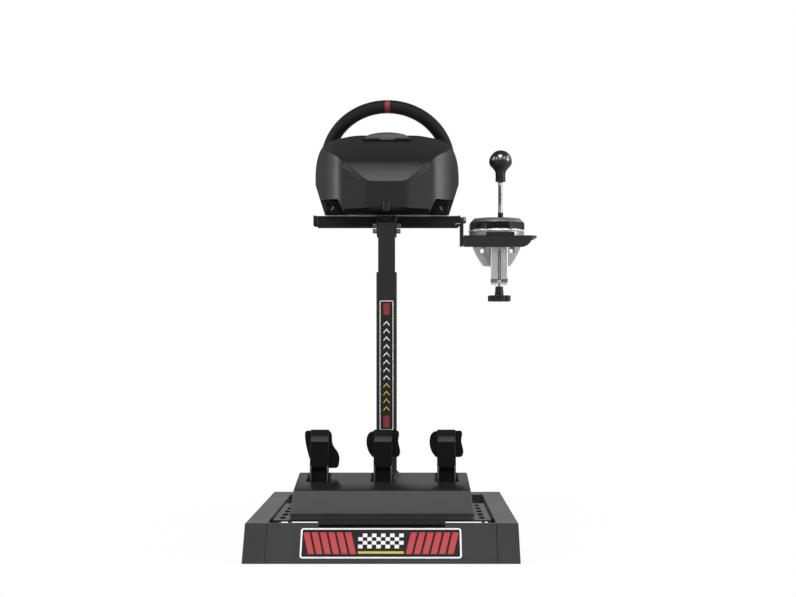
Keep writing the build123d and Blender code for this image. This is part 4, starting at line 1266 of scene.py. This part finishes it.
def makeCamera():
    data = bpy.data.cameras.new("photoCamera")
    camera = bpy.data.objects.new("photoCamera", data)
    scene.collection.objects.link(camera)
    camera.location = photo["place"]
    camera.rotation_euler = (math.pi / 2, 0, 0)
    data.lens = photo["lens"]
    data.sensor_width = photo["sensor"]
    data.shift_x = photo["shiftX"] / photo["width"]
    data.shift_y = photo["shiftY"] / photo["width"]
    scene.camera = camera


# soft boxes: place, aim, width, height, watts
softBoxes = {
    "keyBox": ((0.0, -1.85, 3.1), (0.0, -0.1, 0.5), 1.4, 0.9, 56.0),
    "leftBox": ((-2.52, -0.2, 0.8), (0.0, 0.0, 0.6), 0.6, 1.7, 25.0),
    "rightBox": ((2.49, -0.44, 0.8), (0.0, 0.0, 0.6), 0.6, 1.7, 28.0),
    "backBox": ((0.0, 2.4, 1.7), (0.0, 0.1, 0.6), 1.6, 1.0, 10.0),
}
# small heads in an arc round the stand, for the sparkle on gloss and chrome
sparkle = {"turns": (-76, -41, 0, 45, 100), "reach": 2.6, "height": 2.2, "side": 0.7, "watts": 7.0,
           "aim": (0.1, 0.0, 0.6)}


def hangLamp(name, place, aim, wide, high, watts):
    data = bpy.data.lights.new(name, "AREA")
    data.shape = "RECTANGLE"
    data.size = wide
    data.size_y = high
    data.energy = watts
    lamp = bpy.data.objects.new(name, data)
    scene.collection.objects.link(lamp)
    lamp.location = place
    lamp.rotation_euler = (Vector(aim) - Vector(place)).to_track_quat("-Z", "Y").to_euler()


def makeLights():
    for name, values in softBoxes.items():
        hangLamp(name, *values)
    for turn in sparkle["turns"]:
        angle = math.radians(turn)
        place = (sparkle["reach"] * math.sin(angle), -sparkle["reach"] * math.cos(angle), sparkle["height"])
        hangLamp(f"sparkle{turn}", place, sparkle["aim"], sparkle["side"], sparkle["side"], sparkle["watts"])


# white to the camera and through glass; mirrors see it white behind, dimmer in front and
# darker overhead; plain grey light to everything else
studio = {"fill": 0.4, "front": 0.3, "behind": 0.62, "toWhite": (0.7, 0.7, 0.0), "from": -0.6, "to": 0.6,
          "overhead": 0.28, "ceilingFrom": 0.3, "ceilingTo": 0.85}


def makeWorld():
    world = bpy.data.worlds.new("studio")
    world.use_nodes = True
    scene.world = world
    world.node_tree.nodes.clear()
    sky = NodeTree(world.node_tree)

    def glow(strength):
        return sky.node("ShaderNodeBackground", sockets={0: grey(1.0), 1: strength})

    way = sky.node("ShaderNodeTexCoord", output="Generated")
    facing = sky.node("ShaderNodeVectorMath", {"operation": "DOT_PRODUCT"},
                      {0: way, 1: studio["toWhite"]}, "Value")
    wash = sky.ramp(facing, studio["from"], studio["to"], studio["front"], studio["behind"], "SMOOTHSTEP")
    height = sky.node("ShaderNodeSeparateXYZ", sockets={0: way}, output="Z")
    ceiling = sky.ramp(height, studio["ceilingFrom"], studio["ceilingTo"], 1.0, studio["overhead"],
                       "SMOOTHSTEP")
    lit = sky.node("ShaderNodeMixShader", sockets={
        0: sky.ray("Glossy"), 1: glow(studio["fill"]), 2: glow(wash * ceiling)})
    seen = sky.node("ShaderNodeMath", {"operation": "MAXIMUM"},
                    {0: sky.ray("Camera"), 1: sky.ray("Transmission")})
    mixed = sky.node("ShaderNodeMixShader", sockets={0: seen, 1: lit, 2: glow(1.0)})
    sky.join(sky.tree.nodes.new("ShaderNodeOutputWorld").inputs[0], mixed)


# floor: white to the camera, with a faint shadow left in it round the base
floorPaper = {"size": 14.0, "place": (0, 1.0, -0.0004), "tone": 0.8, "rough": 0.9,
              "middle": (0.0, -0.25, 0.0), "near": 0.45, "far": 1.1, "white": 0.93, "mirror": 0.6}


def makeFloor():
    floor = startPiece("studioFloor", bpy.ops.mesh.primitive_plane_add, size=floorPaper["size"],
                       location=floorPaper["place"])
    fixPlace(floor)
    finish = Finish("floorPaper")
    finish.give({"Base Color": grey(floorPaper["tone"]), "Roughness": floorPaper["rough"]})
    away = finish.node("ShaderNodeVectorMath", {"operation": "DISTANCE"},
                       {0: finish.where, 1: floorPaper["middle"]}, "Value")
    fade = finish.ramp(away, floorPaper["near"], floorPaper["far"], floorPaper["white"], 1.0, "SMOOTHSTEP")
    seen = finish.ray("Camera") + finish.ray("Glossy") * floorPaper["mirror"] + finish.ray("Transmission")
    glow = finish.node("ShaderNodeEmission", sockets={"Color": grey(1.0), "Strength": 1.0})
    paper = Wire(finish, finish.shader.outputs[0])
    mixed = finish.node("ShaderNodeMixShader", sockets={0: fade * seen, 1: paper, 2: glow})
    finish.join(finish.tree.nodes["Material Output"].inputs[0], mixed)
    floor.data.materials.append(finish.material)


makeCamera()
makeLights()
makeWorld()
makeFloor()
scene.view_settings.view_transform = "Standard"
print("stage set")
